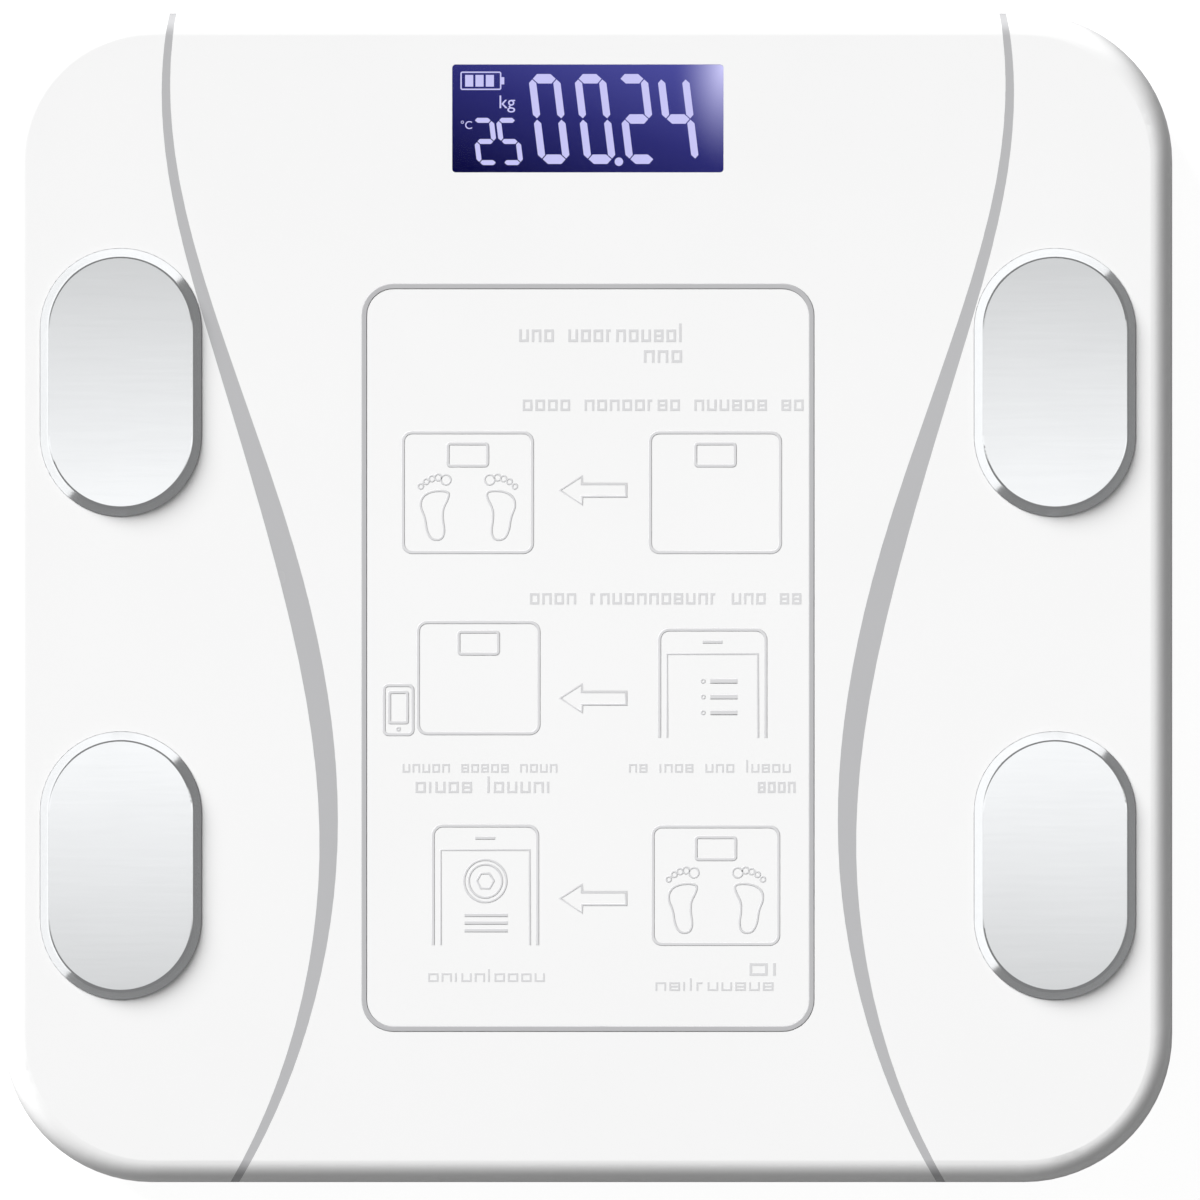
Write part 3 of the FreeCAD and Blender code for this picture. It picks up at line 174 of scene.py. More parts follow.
def makeSideCards():
    # Two white cards stand beyond the toe edge and the left edge; the skirts of the electrodes mirror them.
    material = bpy.data.materials.new("sideCardGlow")
    tree = nodeTree(material)
    glow = tree.nodes.new("ShaderNodeEmission")
    glow.inputs["Strength"].default_value = sideCard["strength"]
    out = tree.nodes.new("ShaderNodeOutputMaterial")
    tree.links.new(glow.outputs[0], out.inputs[0])
    for name, turn in (("toeCard", 0.0), ("leftCard", math.pi / 2)):
        mesh = bpy.data.meshes.new(name)
        bm = bmesh.new()
        bmesh.ops.create_grid(bm, x_segments=1, y_segments=1, size=0.5)
        bmesh.ops.scale(bm, vec=(sideCard["width"], sideCard["height"], 1), verts=bm.verts)
        bmesh.ops.rotate(bm, cent=(0, 0, 0), matrix=Matrix.Rotation(math.pi / 2, 3, "X"), verts=bm.verts)
        bmesh.ops.translate(bm, vec=(0, sideCard["distance"], sideCard["height"] / 2), verts=bm.verts)
        bmesh.ops.rotate(bm, cent=(0, 0, 0), matrix=Matrix.Rotation(turn, 3, "Z"), verts=bm.verts)
        bm.to_mesh(mesh)
        bm.free()
        mesh.materials.append(material)
        card = bpy.data.objects.new(name, mesh)
        bpy.context.scene.collection.objects.link(card)
        card.visible_camera = False
        card.visible_diffuse = False
        card.visible_shadow = False


def makeLight():
    data = bpy.data.lights.new("sun", "SUN")
    data.energy = sun["strength"]
    data.angle = math.radians(sun["spread"])
    sunObject = bpy.data.objects.new("sun", data)
    sunObject.rotation_euler = (-Vector(sun["from"])).to_track_quat("-Z", "Y").to_euler()
    sunObject.visible_glossy = False
    bpy.context.scene.collection.objects.link(sunObject)
    world = bpy.data.worlds.new("studio")
    world.use_nodes = True
    world.node_tree.nodes["Background"].inputs["Color"].default_value = (worldGrey,) * 3 + (1,)
    bpy.context.scene.world = world
    bpy.context.scene.view_settings.view_transform = "Standard"


makeCamera()
makeFloor()
makeOverhead()
makeSideCards()
makeLight()
print("stage ready")


# Materials


def effectGroup(name, settings, outputs):
    # A node group with float inputs and the outputs given as (name, socket type).
    group = bpy.data.node_groups.new(name, "ShaderNodeTree")
    for socket, value in settings.items():
        made = group.interface.new_socket(name=socket, in_out="INPUT", socket_type="NodeSocketFloat")
        made.default_value = value
    for socket, kind in outputs:
        group.interface.new_socket(name=socket, in_out="OUTPUT", socket_type=kind)
    return group, group.nodes.new("NodeGroupInput"), group.nodes.new("NodeGroupOutput")


def noiseOf(tree, scaleFrom=None, scale=100.0, detail=2.0, stretch=(1, 1, 1)):
    where = tree.nodes.new("ShaderNodeTexCoord")
    mapping = tree.nodes.new("ShaderNodeMapping")
    mapping.inputs["Scale"].default_value = stretch
    noise = tree.nodes.new("ShaderNodeTexNoise")
    noise.inputs["Scale"].default_value = scale
    noise.inputs["Detail"].default_value = detail
    tree.links.new(where.outputs["Object"], mapping.inputs["Vector"])
    tree.links.new(mapping.outputs[0], noise.inputs["Vector"])
    if scaleFrom is not None:
        tree.links.new(scaleFrom, noise.inputs["Scale"])
    return noise


def spread(tree, source, low, high):
    # Maps a 0 to 1 value onto low to high; low and high are sockets or numbers.
    node = tree.nodes.new("ShaderNodeMapRange")
    tree.links.new(source, node.inputs["Value"])
    for socket, given in (("To Min", low), ("To Max", high)):
        if isinstance(given, (int, float)):
            node.inputs[socket].default_value = given
        else:
            tree.links.new(given, node.inputs[socket])
    return node.outputs["Result"]


def makeGrain():
    # Fine moulded grain: a normal and a roughness that varies with it.
    group, source, out = effectGroup(
        "grain", {"Scale": 900.0, "Depth": 0.1, "Low": 0.3, "High": 0.4},
        [("Roughness", "NodeSocketFloat"), ("Normal", "NodeSocketVector")])
    fine = noiseOf(group, source.outputs["Scale"])
    wide = noiseOf(group, scale=38.0, detail=3.0)
    rough = spread(group, wide.outputs["Fac"], source.outputs["Low"], source.outputs["High"])
    bump = group.nodes.new("ShaderNodeBump")
    bump.inputs["Distance"].default_value = 0.00006
    group.links.new(source.outputs["Depth"], bump.inputs["Strength"])
    group.links.new(fine.outputs["Fac"], bump.inputs["Height"])
    group.links.new(rough, out.inputs["Roughness"])
    group.links.new(bump.outputs[0], out.inputs["Normal"])
    return group


def makeTone():
    # A slow drift between two shades, as one batch of pigment has.
    group, source, out = effectGroup("tone", {"Scale": 30.0, "Amount": 0.03}, [("Mask", "NodeSocketFloat")])
    drift = noiseOf(group, source.outputs["Scale"], detail=4.0)
    around = group.nodes.new("ShaderNodeMath")
    around.operation = "MULTIPLY"
    group.links.new(drift.outputs["Fac"], around.inputs[0])
    group.links.new(source.outputs["Amount"], around.inputs[1])
    group.links.new(around.outputs[0], out.inputs["Mask"])
    return group


def makeBrush():
    # Fine lines of a rolled sheet, running side to side.
    group, source, out = effectGroup(
        "brush", {"Scale": 900.0, "Depth": 0.1, "Low": 0.2, "High": 0.3},
        [("Roughness", "NodeSocketFloat"), ("Normal", "NodeSocketVector"), ("Mask", "NodeSocketFloat")])
    lines = noiseOf(group, source.outputs["Scale"], detail=3.0, stretch=(0.06, 1, 1))
    cloud = noiseOf(group, scale=60.0, detail=4.0)
    rough = spread(group, cloud.outputs["Fac"], source.outputs["Low"], source.outputs["High"])
    bump = group.nodes.new("ShaderNodeBump")
    bump.inputs["Distance"].default_value = 0.00002
    group.links.new(source.outputs["Depth"], bump.inputs["Strength"])
    group.links.new(lines.outputs["Fac"], bump.inputs["Height"])
    group.links.new(rough, out.inputs["Roughness"])
    group.links.new(bump.outputs[0], out.inputs["Normal"])
    group.links.new(lines.outputs["Fac"], out.inputs["Mask"])
    return group


grain, tone, brush = makeGrain(), makeTone(), makeBrush()


def useGroup(tree, group, **values):
    node = tree.nodes.new("ShaderNodeGroup")
    node.node_tree = group
    for name, value in values.items():
        node.inputs[name].default_value = value
    return node


def startMaterial(name, **plain):
    # plain holds the values that are the same all over: they sit on the shader's own sockets.
    material = bpy.data.materials.new(name)
    tree = nodeTree(material)
    shader = tree.nodes.new("ShaderNodeBsdfPrincipled")
    out = tree.nodes.new("ShaderNodeOutputMaterial")
    tree.links.new(shader.outputs[0], out.inputs[0])
    for socket, value in plain.items():
        shader.inputs[socket].default_value = value
    return material, tree, shader


def shades(tree, shader, mask, first, second):
    blend = tree.nodes.new("ShaderNodeMix")
    blend.data_type = "RGBA"
    blend.inputs[6].default_value = (*first, 1)
    blend.inputs[7].default_value = (*second, 1)
    tree.links.new(mask, blend.inputs[0])
    tree.links.new(blend.outputs[2], shader.inputs["Base Color"])


def plastic(name, colour, darker, rough=(0.3, 0.4), grainScale=900.0, depth=0.1, toneScale=30.0, **plain):
    material, tree, shader = startMaterial(name, **plain)
    texture = useGroup(tree, grain, Scale=grainScale, Depth=depth, Low=rough[0], High=rough[1])
    drift = useGroup(tree, tone, Scale=toneScale, Amount=1.0)
    tree.links.new(texture.outputs["Roughness"], shader.inputs["Roughness"])
    tree.links.new(texture.outputs["Normal"], shader.inputs["Normal"])
    shades(tree, shader, drift.outputs["Mask"], colour, darker)
    return material


def sheetMetal(name, colour, darker, rough=(0.2, 0.3), lineScale=900.0, depth=0.1, **plain):
    material, tree, shader = startMaterial(name, Metallic=1.0, **plain)
    texture = useGroup(tree, brush, Scale=lineScale, Depth=depth, Low=rough[0], High=rough[1])
    tree.links.new(texture.outputs["Roughness"], shader.inputs["Roughness"])
    tree.links.new(texture.outputs["Normal"], shader.inputs["Normal"])
    shades(tree, shader, texture.outputs["Mask"], colour, darker)
    return material


whiteCover = plastic("whiteCover", (0.86, 0.86, 0.86), (0.84, 0.84, 0.84), rough=(0.26, 0.32),
                     grainScale=1400.0, depth=0.03, **{"Coat Weight": 0.15, "Coat Roughness": 0.1})
greyLine = plastic("greyLine", (0.46, 0.46, 0.47), (0.43, 0.43, 0.44), rough=(0.22, 0.3), depth=0.03)
steelFace = sheetMetal("steelFace", (0.84, 0.853, 0.865), (0.80, 0.813, 0.825), rough=(0.13, 0.16),
                       depth=0.05)
whiteBase = plastic("whiteBase", (0.82, 0.82, 0.81), (0.78, 0.78, 0.77), rough=(0.45, 0.55),
                    grainScale=2600.0, depth=0.5)
footPlastic = plastic("footPlastic", (0.78, 0.78, 0.77), (0.74, 0.74, 0.73), rough=(0.4, 0.5),
                      grainScale=2400.0, depth=0.4)
soleRubber = plastic("soleRubber", (0.13, 0.135, 0.145), (0.17, 0.17, 0.18), rough=(0.7, 0.85),
                     grainScale=1800.0, depth=0.6)
greyButton = plastic("greyButton", (0.33, 0.34, 0.36), (0.3, 0.31, 0.33), rough=(0.4, 0.5), depth=0.4)
blackPlastic = plastic("blackPlastic", (0.02, 0.02, 0.022), (0.03, 0.03, 0.032), rough=(0.4, 0.5),
                       depth=0.3)
blackTape = plastic("blackTape", (0.02, 0.02, 0.02), (0.035, 0.035, 0.035), rough=(0.7, 0.8), depth=0.3)
ivoryPlastic = plastic("ivoryPlastic", (0.74, 0.7, 0.58), (0.7, 0.66, 0.55), rough=(0.35, 0.45))
milkyGuide = plastic("milkyGuide", (0.8, 0.84, 0.88), (0.76, 0.8, 0.85), rough=(0.15, 0.25))
pinkRubber = plastic("pinkRubber", (0.62, 0.36, 0.38), (0.56, 0.32, 0.34), rough=(0.55, 0.7), depth=0.3)
greenBoard = plastic("greenBoard", (0.01, 0.14, 0.05), (0.02, 0.2, 0.08), rough=(0.25, 0.35),
                     toneScale=400.0)
cellSleeve = plastic("cellSleeve", (0.06, 0.07, 0.09), (0.08, 0.09, 0.12), rough=(0.2, 0.3))
redLead = plastic("redLead", (0.5, 0.03, 0.03), (0.45, 0.02, 0.02), rough=(0.35, 0.45))
cellSteel = sheetMetal("cellSteel", (0.56, 0.56, 0.57), (0.5, 0.5, 0.51), rough=(0.3, 0.42), depth=0.2)
nickel = sheetMetal("nickel", (0.68, 0.66, 0.62), (0.62, 0.6, 0.56), rough=(0.18, 0.28))
zincScrew = sheetMetal("zincScrew", (0.5, 0.5, 0.51), (0.42, 0.42, 0.44), rough=(0.25, 0.38),
                       lineScale=1600.0, depth=0.2)
paleInk = plastic("paleInk", (0.67, 0.67, 0.68), (0.63, 0.63, 0.64), rough=(0.3, 0.36), depth=0.05)
plateSilver = plastic("plateSilver", (0.55, 0.56, 0.57), (0.5, 0.51, 0.52), rough=(0.3, 0.4), depth=0.05,
                      Metallic=0.8)
amberFilm = plastic("amberFilm", (0.5, 0.24, 0.04), (0.42, 0.18, 0.03), rough=(0.2, 0.3), depth=0.05)
frameInk = plastic("frameInk", (0.47, 0.47, 0.48), (0.44, 0.44, 0.45), rough=(0.3, 0.36), depth=0.05)

finishes = {
    "casing_white": whiteCover, "base_white": whiteBase, "line_grey": greyLine,
    "electrode_steel": steelFace, "tape_black": blackTape, "guide_milky": milkyGuide,
    "strip_pink": pinkRubber, "board_green": greenBoard, "parts_black": blackPlastic,
    "sensor_steel": cellSteel, "socket_ivory": ivoryPlastic, "button_grey": greyButton,
    "foot_plastic": footPlastic, "sole_rubber": soleRubber, "cell_sleeve": cellSleeve,
    "contact_nickel": nickel, "screw_steel": zincScrew, "lead_sleeve": redLead}

lensLook = {"tint": (0.97, 0.98, 1.0)}
glassLook = {"stops": ((0.12, (0.003, 0.003, 0.05)), (0.5, (0.026, 0.026, 0.17)),
                       (0.95, (0.085, 0.087, 0.37))),
             "sideways": 0.42, "glare": (0.66, 0.64, 1.0), "glareReach": (0.0115, 0.024),
             "glareInset": (0.003, 0.0035), "dark": (0.001, 0.001, 0.002)}
segmentLook = {"bright": (0.64, 0.62, 0.97), "dim": (0.57, 0.55, 0.9), "rough": 0.4}


def makeLens():
    material, tree, shader = startMaterial("clearLens", **{"Transmission Weight": 1.0, "IOR": 1.1})
    drift = useGroup(tree, tone, Scale=60.0, Amount=0.02)
    rough = spread(tree, drift.outputs["Mask"], 0.0, 1.0)
    tree.links.new(rough, shader.inputs["Roughness"])
    shader.inputs["Base Color"].default_value = (*lensLook["tint"], 1)
    return material


def makeDisplayGlass():
    # The backlight is dim at the heel side and brighter at the toe side, with a painted glare highlight at
    # its right end.
    low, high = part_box("display_lens")
    material, tree, shader = startMaterial(
        "blueGlass", **{"Emission Strength": 1.0, "Specular IOR Level": 0.0, "Roughness": 0.4})
    where = tree.nodes.new("ShaderNodeTexCoord")
    parts = tree.nodes.new("ShaderNodeSeparateXYZ")
    tree.links.new(where.outputs["Object"], parts.inputs[0])
    across = tree.nodes.new("ShaderNodeMapRange")
    across.inputs["From Min"].default_value = low.x
    across.inputs["From Max"].default_value = high.x
    across.inputs["To Max"].default_value = glassLook["sideways"]
    tree.links.new(parts.outputs["X"], across.inputs["Value"])
    along = tree.nodes.new("ShaderNodeMapRange")
    along.inputs["From Min"].default_value = low.y
    along.inputs["From Max"].default_value = high.y
    along.inputs["To Max"].default_value = 1 - glassLook["sideways"]
    tree.links.new(parts.outputs["Y"], along.inputs["Value"])
    total = tree.nodes.new("ShaderNodeMath")
    tree.links.new(across.outputs["Result"], total.inputs[0])
    tree.links.new(along.outputs["Result"], total.inputs[1])
    ramp = tree.nodes.new("ShaderNodeValToRGB")
    ramp.color_ramp.elements.new(0.5)
    for element, (position, colour) in zip(ramp.color_ramp.elements, glassLook["stops"]):
        element.position = position
        element.color = (*colour, 1)
    tree.links.new(total.outputs[0], ramp.inputs["Fac"])
    # The glare is a painted highlight: a brighter spot mixed into the blue glow near the window's right
    # end.
    mapping = tree.nodes.new("ShaderNodeMapping")
    reachX, reachY = glassLook["glareReach"]
    insetX, insetY = glassLook["glareInset"]
    middleX, middleY = high.x - insetX, high.y - insetY
    mapping.inputs["Location"].default_value = (-middleX / reachX, -middleY / reachY, 0)
    mapping.inputs["Scale"].default_value = (1 / reachX, 1 / reachY, 0)
    spot = tree.nodes.new("ShaderNodeTexGradient")
    spot.gradient_type = "QUADRATIC_SPHERE"
    tree.links.new(where.outputs["Object"], mapping.inputs["Vector"])
    tree.links.new(mapping.outputs[0], spot.inputs["Vector"])
    glare = tree.nodes.new("ShaderNodeMix")
    glare.data_type = "RGBA"
    glare.inputs[7].default_value = (*glassLook["glare"], 1)
    tree.links.new(spot.outputs["Fac"], glare.inputs[0])
    tree.links.new(ramp.outputs["Color"], glare.inputs[6])
    tree.links.new(glare.outputs[2], shader.inputs["Emission Color"])
    shader.inputs["Base Color"].default_value = (*glassLook["dark"], 1)
    return material


def makeSegmentGlow():
    material, tree, shader = startMaterial(
        "segmentGlow", **{"Emission Strength": 1.0, "Specular IOR Level": 0.0})
    drift = useGroup(tree, tone, Scale=90.0, Amount=1.0)
    blend = tree.nodes.new("ShaderNodeMix")
    blend.data_type = "RGBA"
    blend.inputs[6].default_value = (*segmentLook["bright"], 1)
    blend.inputs[7].default_value = (*segmentLook["dim"], 1)
    tree.links.new(drift.outputs["Mask"], blend.inputs[0])
    tree.links.new(blend.outputs[2], shader.inputs["Emission Color"])
    shader.inputs["Base Color"].default_value = (*glassLook["dark"], 1)
    shader.inputs["Roughness"].default_value = segmentLook["rough"]
    return material


finishes["lens_clear"] = makeLens()
finishes["display_blue"] = makeDisplayGlass()
segmentGlow = makeSegmentGlow()

for entry in frame["record"]["subparts"]:
    mesh = nodes[entry["node"]].data
    mesh.materials.clear()
    mesh.materials.append(finishes[entry["material_slot"]])
print("materials on", len(nodes), "nodes")


# Printing on the deck

inkHeight = 0.03  # mm above the deck
filmHeight = 0.004  # mm, half the thickness of a drawn line


def finishPiece(name, bm, material, body="casing"):
    mesh = bpy.data.meshes.new(name)
    bm.to_mesh(mesh)
    bm.free()
    mesh.materials.append(material)
    piece = bpy.data.objects.new(name, mesh)
    bpy.context.scene.collection.objects.link(piece)
    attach(piece, body)
    return piece


def addStroke(bm, points, width, closed=True, smooth=False, level=None):
    # A flat stroke of ink along the points: a round curve pressed flat onto the deck.
    curve = bpy.data.curves.new("stroke", "CURVE")
    curve.dimensions = "3D"
    curve.bevel_depth = width / 2 * milli
    curve.bevel_resolution = 2
    curve.use_fill_caps = True
    kind = "NURBS" if smooth else "POLY"
    spline = curve.splines.new(kind)
    spline.points.add(len(points) - 1)
    for point, (x, y) in zip(spline.points, points):
        point.co = (x * milli, y * milli, 0, 1)
    spline.use_cyclic_u = closed
    if smooth:
        spline.order_u = 3
        spline.use_endpoint_u = not closed
        spline.resolution_u = 6
    holder = bpy.data.objects.new("stroke", curve)
    mesh = bpy.data.meshes.new_from_object(holder)
    base = (deckZ if level is None else level) + (inkHeight - filmHeight) * milli
    mesh.transform(Matrix.Translation((0, 0, base)) @ Matrix.Diagonal((1, 1, filmHeight * 2 / width, 1)))
    bm.from_mesh(mesh)
    bpy.data.meshes.remove(mesh)
    bpy.data.objects.remove(holder)
    bpy.data.curves.remove(curve)


def addPatch(bm, outline, level=None, height=inkHeight):
    # A filled shape with straight sides, raised by its thickness.
    base = deckZ if level is None else level
    corners = [bm.verts.new((x * milli, y * milli, base)) for x, y in outline]
    face = bm.faces.new(corners)
    if face.normal.z < 0:
        face.normal_flip()
    raised = bmesh.ops.extrude_face_region(bm, geom=[face])
    lifted = [item for item in raised["geom"] if isinstance(item, bmesh.types.BMVert)]
    bmesh.ops.translate(bm, vec=(0, 0, height * milli), verts=lifted)


def roundedBox(x, y, width, depth, radius, steps=6):
    points = []
    for quarter, (a, b) in enumerate(((1, 1), (-1, 1), (-1, -1), (1, -1))):
        for step in range(steps + 1):
            turn = (quarter + step / steps) * math.pi / 2
            points.append((x + a * (width / 2 - radius) + radius * math.cos(turn),
                           y + b * (depth / 2 - radius) + radius * math.sin(turn)))
    return points


def ring(x, y, radius, steps=32):
    turns = [2 * math.pi * step / steps for step in range(steps)]
    return [(x + radius * math.cos(turn), y + radius * math.sin(turn)) for turn in turns]


panel = {"x": 0.0, "y": -13.3, "width": 99.4, "height": 165.0, "round": 6.5, "line": 1.25}
bm = bmesh.new()
panelOutline = roundedBox(panel["x"], panel["y"], panel["width"], panel["height"], panel["round"], 10)
addStroke(bm, panelOutline, panel["line"])
finishPiece("panelFrame", bm, frameInk)

icons = {"line": 0.72, "thin": 0.5, "round": 2.0, "signWidth": 8.8, "signHeight": 4.9, "signUp": 0.315,
         "footWidth": 4.3, "footLength": 6.6, "footApart": 7.1, "footDown": 3.9, "toeUp": 0.16}
soleShape = [(-0.22, -1.0), (0.3, -1.0), (0.46, -0.72), (0.34, -0.3), (0.36, 0.05), (0.62, 0.36),
             (0.7, 0.6), (0.3, 0.66), (-0.3, 0.62), (-0.72, 0.44), (-0.82, 0.12), (-0.56, -0.24),
             (-0.48, -0.7)]
toeShapes = [(0.52, 0.86, 0.26), (0.12, 0.94, 0.17), (-0.2, 0.9, 0.15), (-0.5, 0.8, 0.14),
             (-0.78, 0.64, 0.13)]
arrow = {"tip": -6.2, "neck": -1.3, "tail": 8.5, "shaft": 1.4, "head": 3.1}
openPhone = {"turn": 2.2, "side": 1.7, "screen": 5.4, "slot": 2.7, "slotHalf": 2.2}


def footIcon(bm, x, y, hand):
    # A bare footprint: sole outline and five toes; hand is +1 with the big toe to the right.
    width, length = icons["footWidth"], icons["footLength"]
    outline = [(x + hand * a * width, y + b * length) for a, b in soleShape]
    addStroke(bm, outline, icons["thin"], smooth=True)
    for a, b, radius in toeShapes:
        toe = ring(x + hand * a * width, y + (b + icons["toeUp"]) * length, radius * width, 12)
        addStroke(bm, toe, icons["thin"] * 0.8)


def scaleIcon(bm, x, y, width, height, feet):
    addStroke(bm, roundedBox(x, y, width, height, icons["round"]), icons["line"])
    sign = roundedBox(x, y + height * icons["signUp"], icons["signWidth"], icons["signHeight"], 0.6)
    addStroke(bm, sign, icons["line"])
    if feet:
        for hand in (-1, 1):
            footIcon(bm, x + hand * icons["footApart"], y - icons["footDown"], -hand)


def arrowIcon(bm, y):
    tip, neck, tail, shaft, head = arrow.values()
    outline = [(tip, y), (neck, y + head), (neck, y + shaft), (tail, y + shaft),
               (tail, y - shaft), (neck, y - shaft), (neck, y - head)]
    addStroke(bm, outline, icons["line"])


def phoneIcon(bm, x, y, width, height):
    addStroke(bm, roundedBox(x, y, width, height, 1.0), icons["line"])
    addStroke(bm, roundedBox(x, y + height * 0.05, width * 0.62, height * 0.62, 0.3), icons["line"])
    addStroke(bm, ring(x, y - height * 0.39, 0.35, 10), icons["thin"] * 0.8)


def openPhoneIcon(bm, x, y, width, height):
    # The upper part of a phone; its sides run down into the open.
    left, top, bottom, turn = x - width / 2, y + height / 2, y - height / 2, openPhone["turn"]
    angles = [step * math.pi / 12 for step in range(7)]
    corner = [(left + turn - turn * math.cos(angle), top - turn + turn * math.sin(angle))
              for angle in angles]
    shell = corner + [(2 * x - a, b) for a, b in reversed(corner)]
    addStroke(bm, [(left, bottom)] + shell + [(2 * x - left, bottom)], icons["line"], closed=False)
    side, screenTop = width / 2 - openPhone["side"], top - openPhone["screen"]
    screen = [(x - side, bottom), (x - side, screenTop), (x + side, screenTop), (x + side, bottom)]
    addStroke(bm, screen, icons["thin"], closed=False)
    slotY, slotHalf = top - openPhone["slot"], openPhone["slotHalf"]
    addStroke(bm, [(x - slotHalf, slotY), (x + slotHalf, slotY)], icons["line"], closed=False)


def makeIcons():
    bm = bmesh.new()
    scaleIcon(bm, -26.7, 23.4, 28.7, 26.6, True)
    scaleIcon(bm, 28.3, 23.4, 28.9, 26.6, False)
    arrowIcon(bm, 23.9)
    finishPiece("stepOneIcons", bm, paleInk)
    bm = bmesh.new()
    scaleIcon(bm, -24.3, -17.8, 26.8, 24.7, False)
    phoneIcon(bm, -42.1, -24.9, 6.4, 10.9)
    arrowIcon(bm, -22.3)
    openPhoneIcon(bm, 27.7, -19.1, 23.6, 24.0)
    for row in range(3):  # a short list on the screen
        y = -18.5 - row * 3.5
        addStroke(bm, ring(25.6, y, 0.4, 10), icons["thin"] * 0.7)
        addStroke(bm, [(27.2, y), (33.2, y)], 1.1, closed=False)
    finishPiece("stepTwoIcons", bm, paleInk)
    bm = bmesh.new()
    openPhoneIcon(bm, -22.8, -63.9, 23.2, 26.5)
    for radius, steps in ((4.7, 36), (3.7, 32), (1.9, 6)):
        addStroke(bm, ring(-22.8, -62.9, radius, steps), icons["thin"])
    for y in (-70.5, -72.2, -73.9):
        addStroke(bm, [(-27.4, y), (-17.8, y)], 0.8, closed=False)
    arrowIcon(bm, -66.8)
    scaleIcon(bm, 28.4, -63.9, 27.9, 26.1, True)
    finishPiece("stepThreeIcons", bm, paleInk)


textLook = {"heights": {"title": 4.1, "heading": 3.7, "caption": 2.8}, "stroke": 0.14, "body": 0.68,
            "gap": 0.45, "narrowest": 0.17, "seed": 7}
textLines = [  # left end, right end, middle, kind, letters in each word
    (-15.3, 20.9, 58.9, "title", (3, 10)), (12.4, 20.9, 54.3, "title", (3,)),
    (-14.5, 47.9, 43.4, "heading", (4, 8, 6, 2)), (-12.9, 47.4, 0.4, "heading", (4, 11, 3, 2)),
    (-41.2, -6.8, -37.4, "caption", (5, 5, 4)), (-38.3, -8.4, -41.5, "heading", (5, 6)),
    (9.1, 45.0, -37.4, "caption", (2, 4, 3, 5)), (37.7, 46.1, -41.5, "heading", (4,)),
    (-35.5, -9.6, -83.9, "caption", (10,)), (35.9, 42.4, -81.9, "title", (2,)),
    (15.0, 41.2, -85.9, "caption", (10,))]
letterWidths = {"i": 0.24, "l": 0.24, "r": 0.55}
wideLetter = 0.74


def blindLetter(bm, kind, x, y, height, width):
    # One blind letter: upright and cross strokes at letter size, which say nothing.
    stroke, body = height * textLook["stroke"], height * textLook["body"]
    tall = height if kind == "l" else body
    for left in [x] if kind in "irl" else [x, x + width - stroke]:
        addPatch(bm, [(left, y), (left + stroke, y), (left + stroke, y + tall), (left, y + tall)])
    low, middle, high = 0, (body - stroke) / 2, body - stroke
    bars = {"o": (low, high), "n": (high,), "u": (low,), "e": (low, middle, high), "r": (high,)}
    for level in bars.get(kind, ()):
        addPatch(bm, [(x + stroke, y + level), (x + width - stroke, y + level),
                      (x + width - stroke, y + level + stroke), (x + stroke, y + level + stroke)])


def textLine(bm, left, right, middle, kind, words, chance):
    # Words of blind letters, spread to fill the line exactly.
    height = textLook["heights"][kind]
    steps = []
    for letters in words:
        for _ in range(letters):
            letter = chance.choice("oonnuuooneueirl")
            steps.append((letter, letterWidths.get(letter, wideLetter) * height * textLook["body"]))
        steps.append((None, height * textLook["gap"]))
    steps.pop()
    gap = height * textLook["stroke"] * 1.1
    total = sum(width + gap for _, width in steps) - gap
    stretch, x = (right - left) / total, left
    for letter, width in steps:
        if letter:
            wide = max(width * stretch, height * textLook["narrowest"])
            blindLetter(bm, letter, x, middle - height / 2, height, wide)
        x += (width + gap) * stretch


def makeText():
    chance = random.Random(textLook["seed"])
    bm = bmesh.new()
    for line in textLines:
        textLine(bm, *line, chance)
    finishPiece("blindText", bm, paleInk)


makeIcons()
makeText()
print("deck printing done")


# Display

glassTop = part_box("display_glass")[1].z
segmentHeight = 0.06  # mm above the glass
digits = {"centres": (-8.6, 1.6, 10.9, 20.1), "numerals": "0024", "y": 106.5, "height": 20.0,
          "width": 7.0, "across": 2.1, "upright": 1.6, "lean": -0.123, "gap": 0.16}
smallDigits = {"places": (("2", -22.8), ("5", -17.4)), "y": 101.5, "height": 10.5, "width": 4.9,
               "stroke": 1.1}
point = {"x": 6.9, "y": 97.0, "radius": 0.95}
battery = {"bars": 3, "left": -27.3, "step": 2.3, "width": 1.8, "low": 113.7, "high": 116.3,
           "case": (-23.8, 115.0, 8.8, 3.8, 0.3), "line": 0.3,
           "cap": [(-19.3, 114.2), (-18.6, 114.2), (-18.6, 115.8), (-19.3, 115.8)]}
unitSigns = (("kg", -19.9, 108.9, 2.9), ("\u00b0C", -28.4, 104.3, 1.75))
segmentsOf = {"0": "abcdef", "2": "abged", "4": "fgbc", "5": "afgcd"}


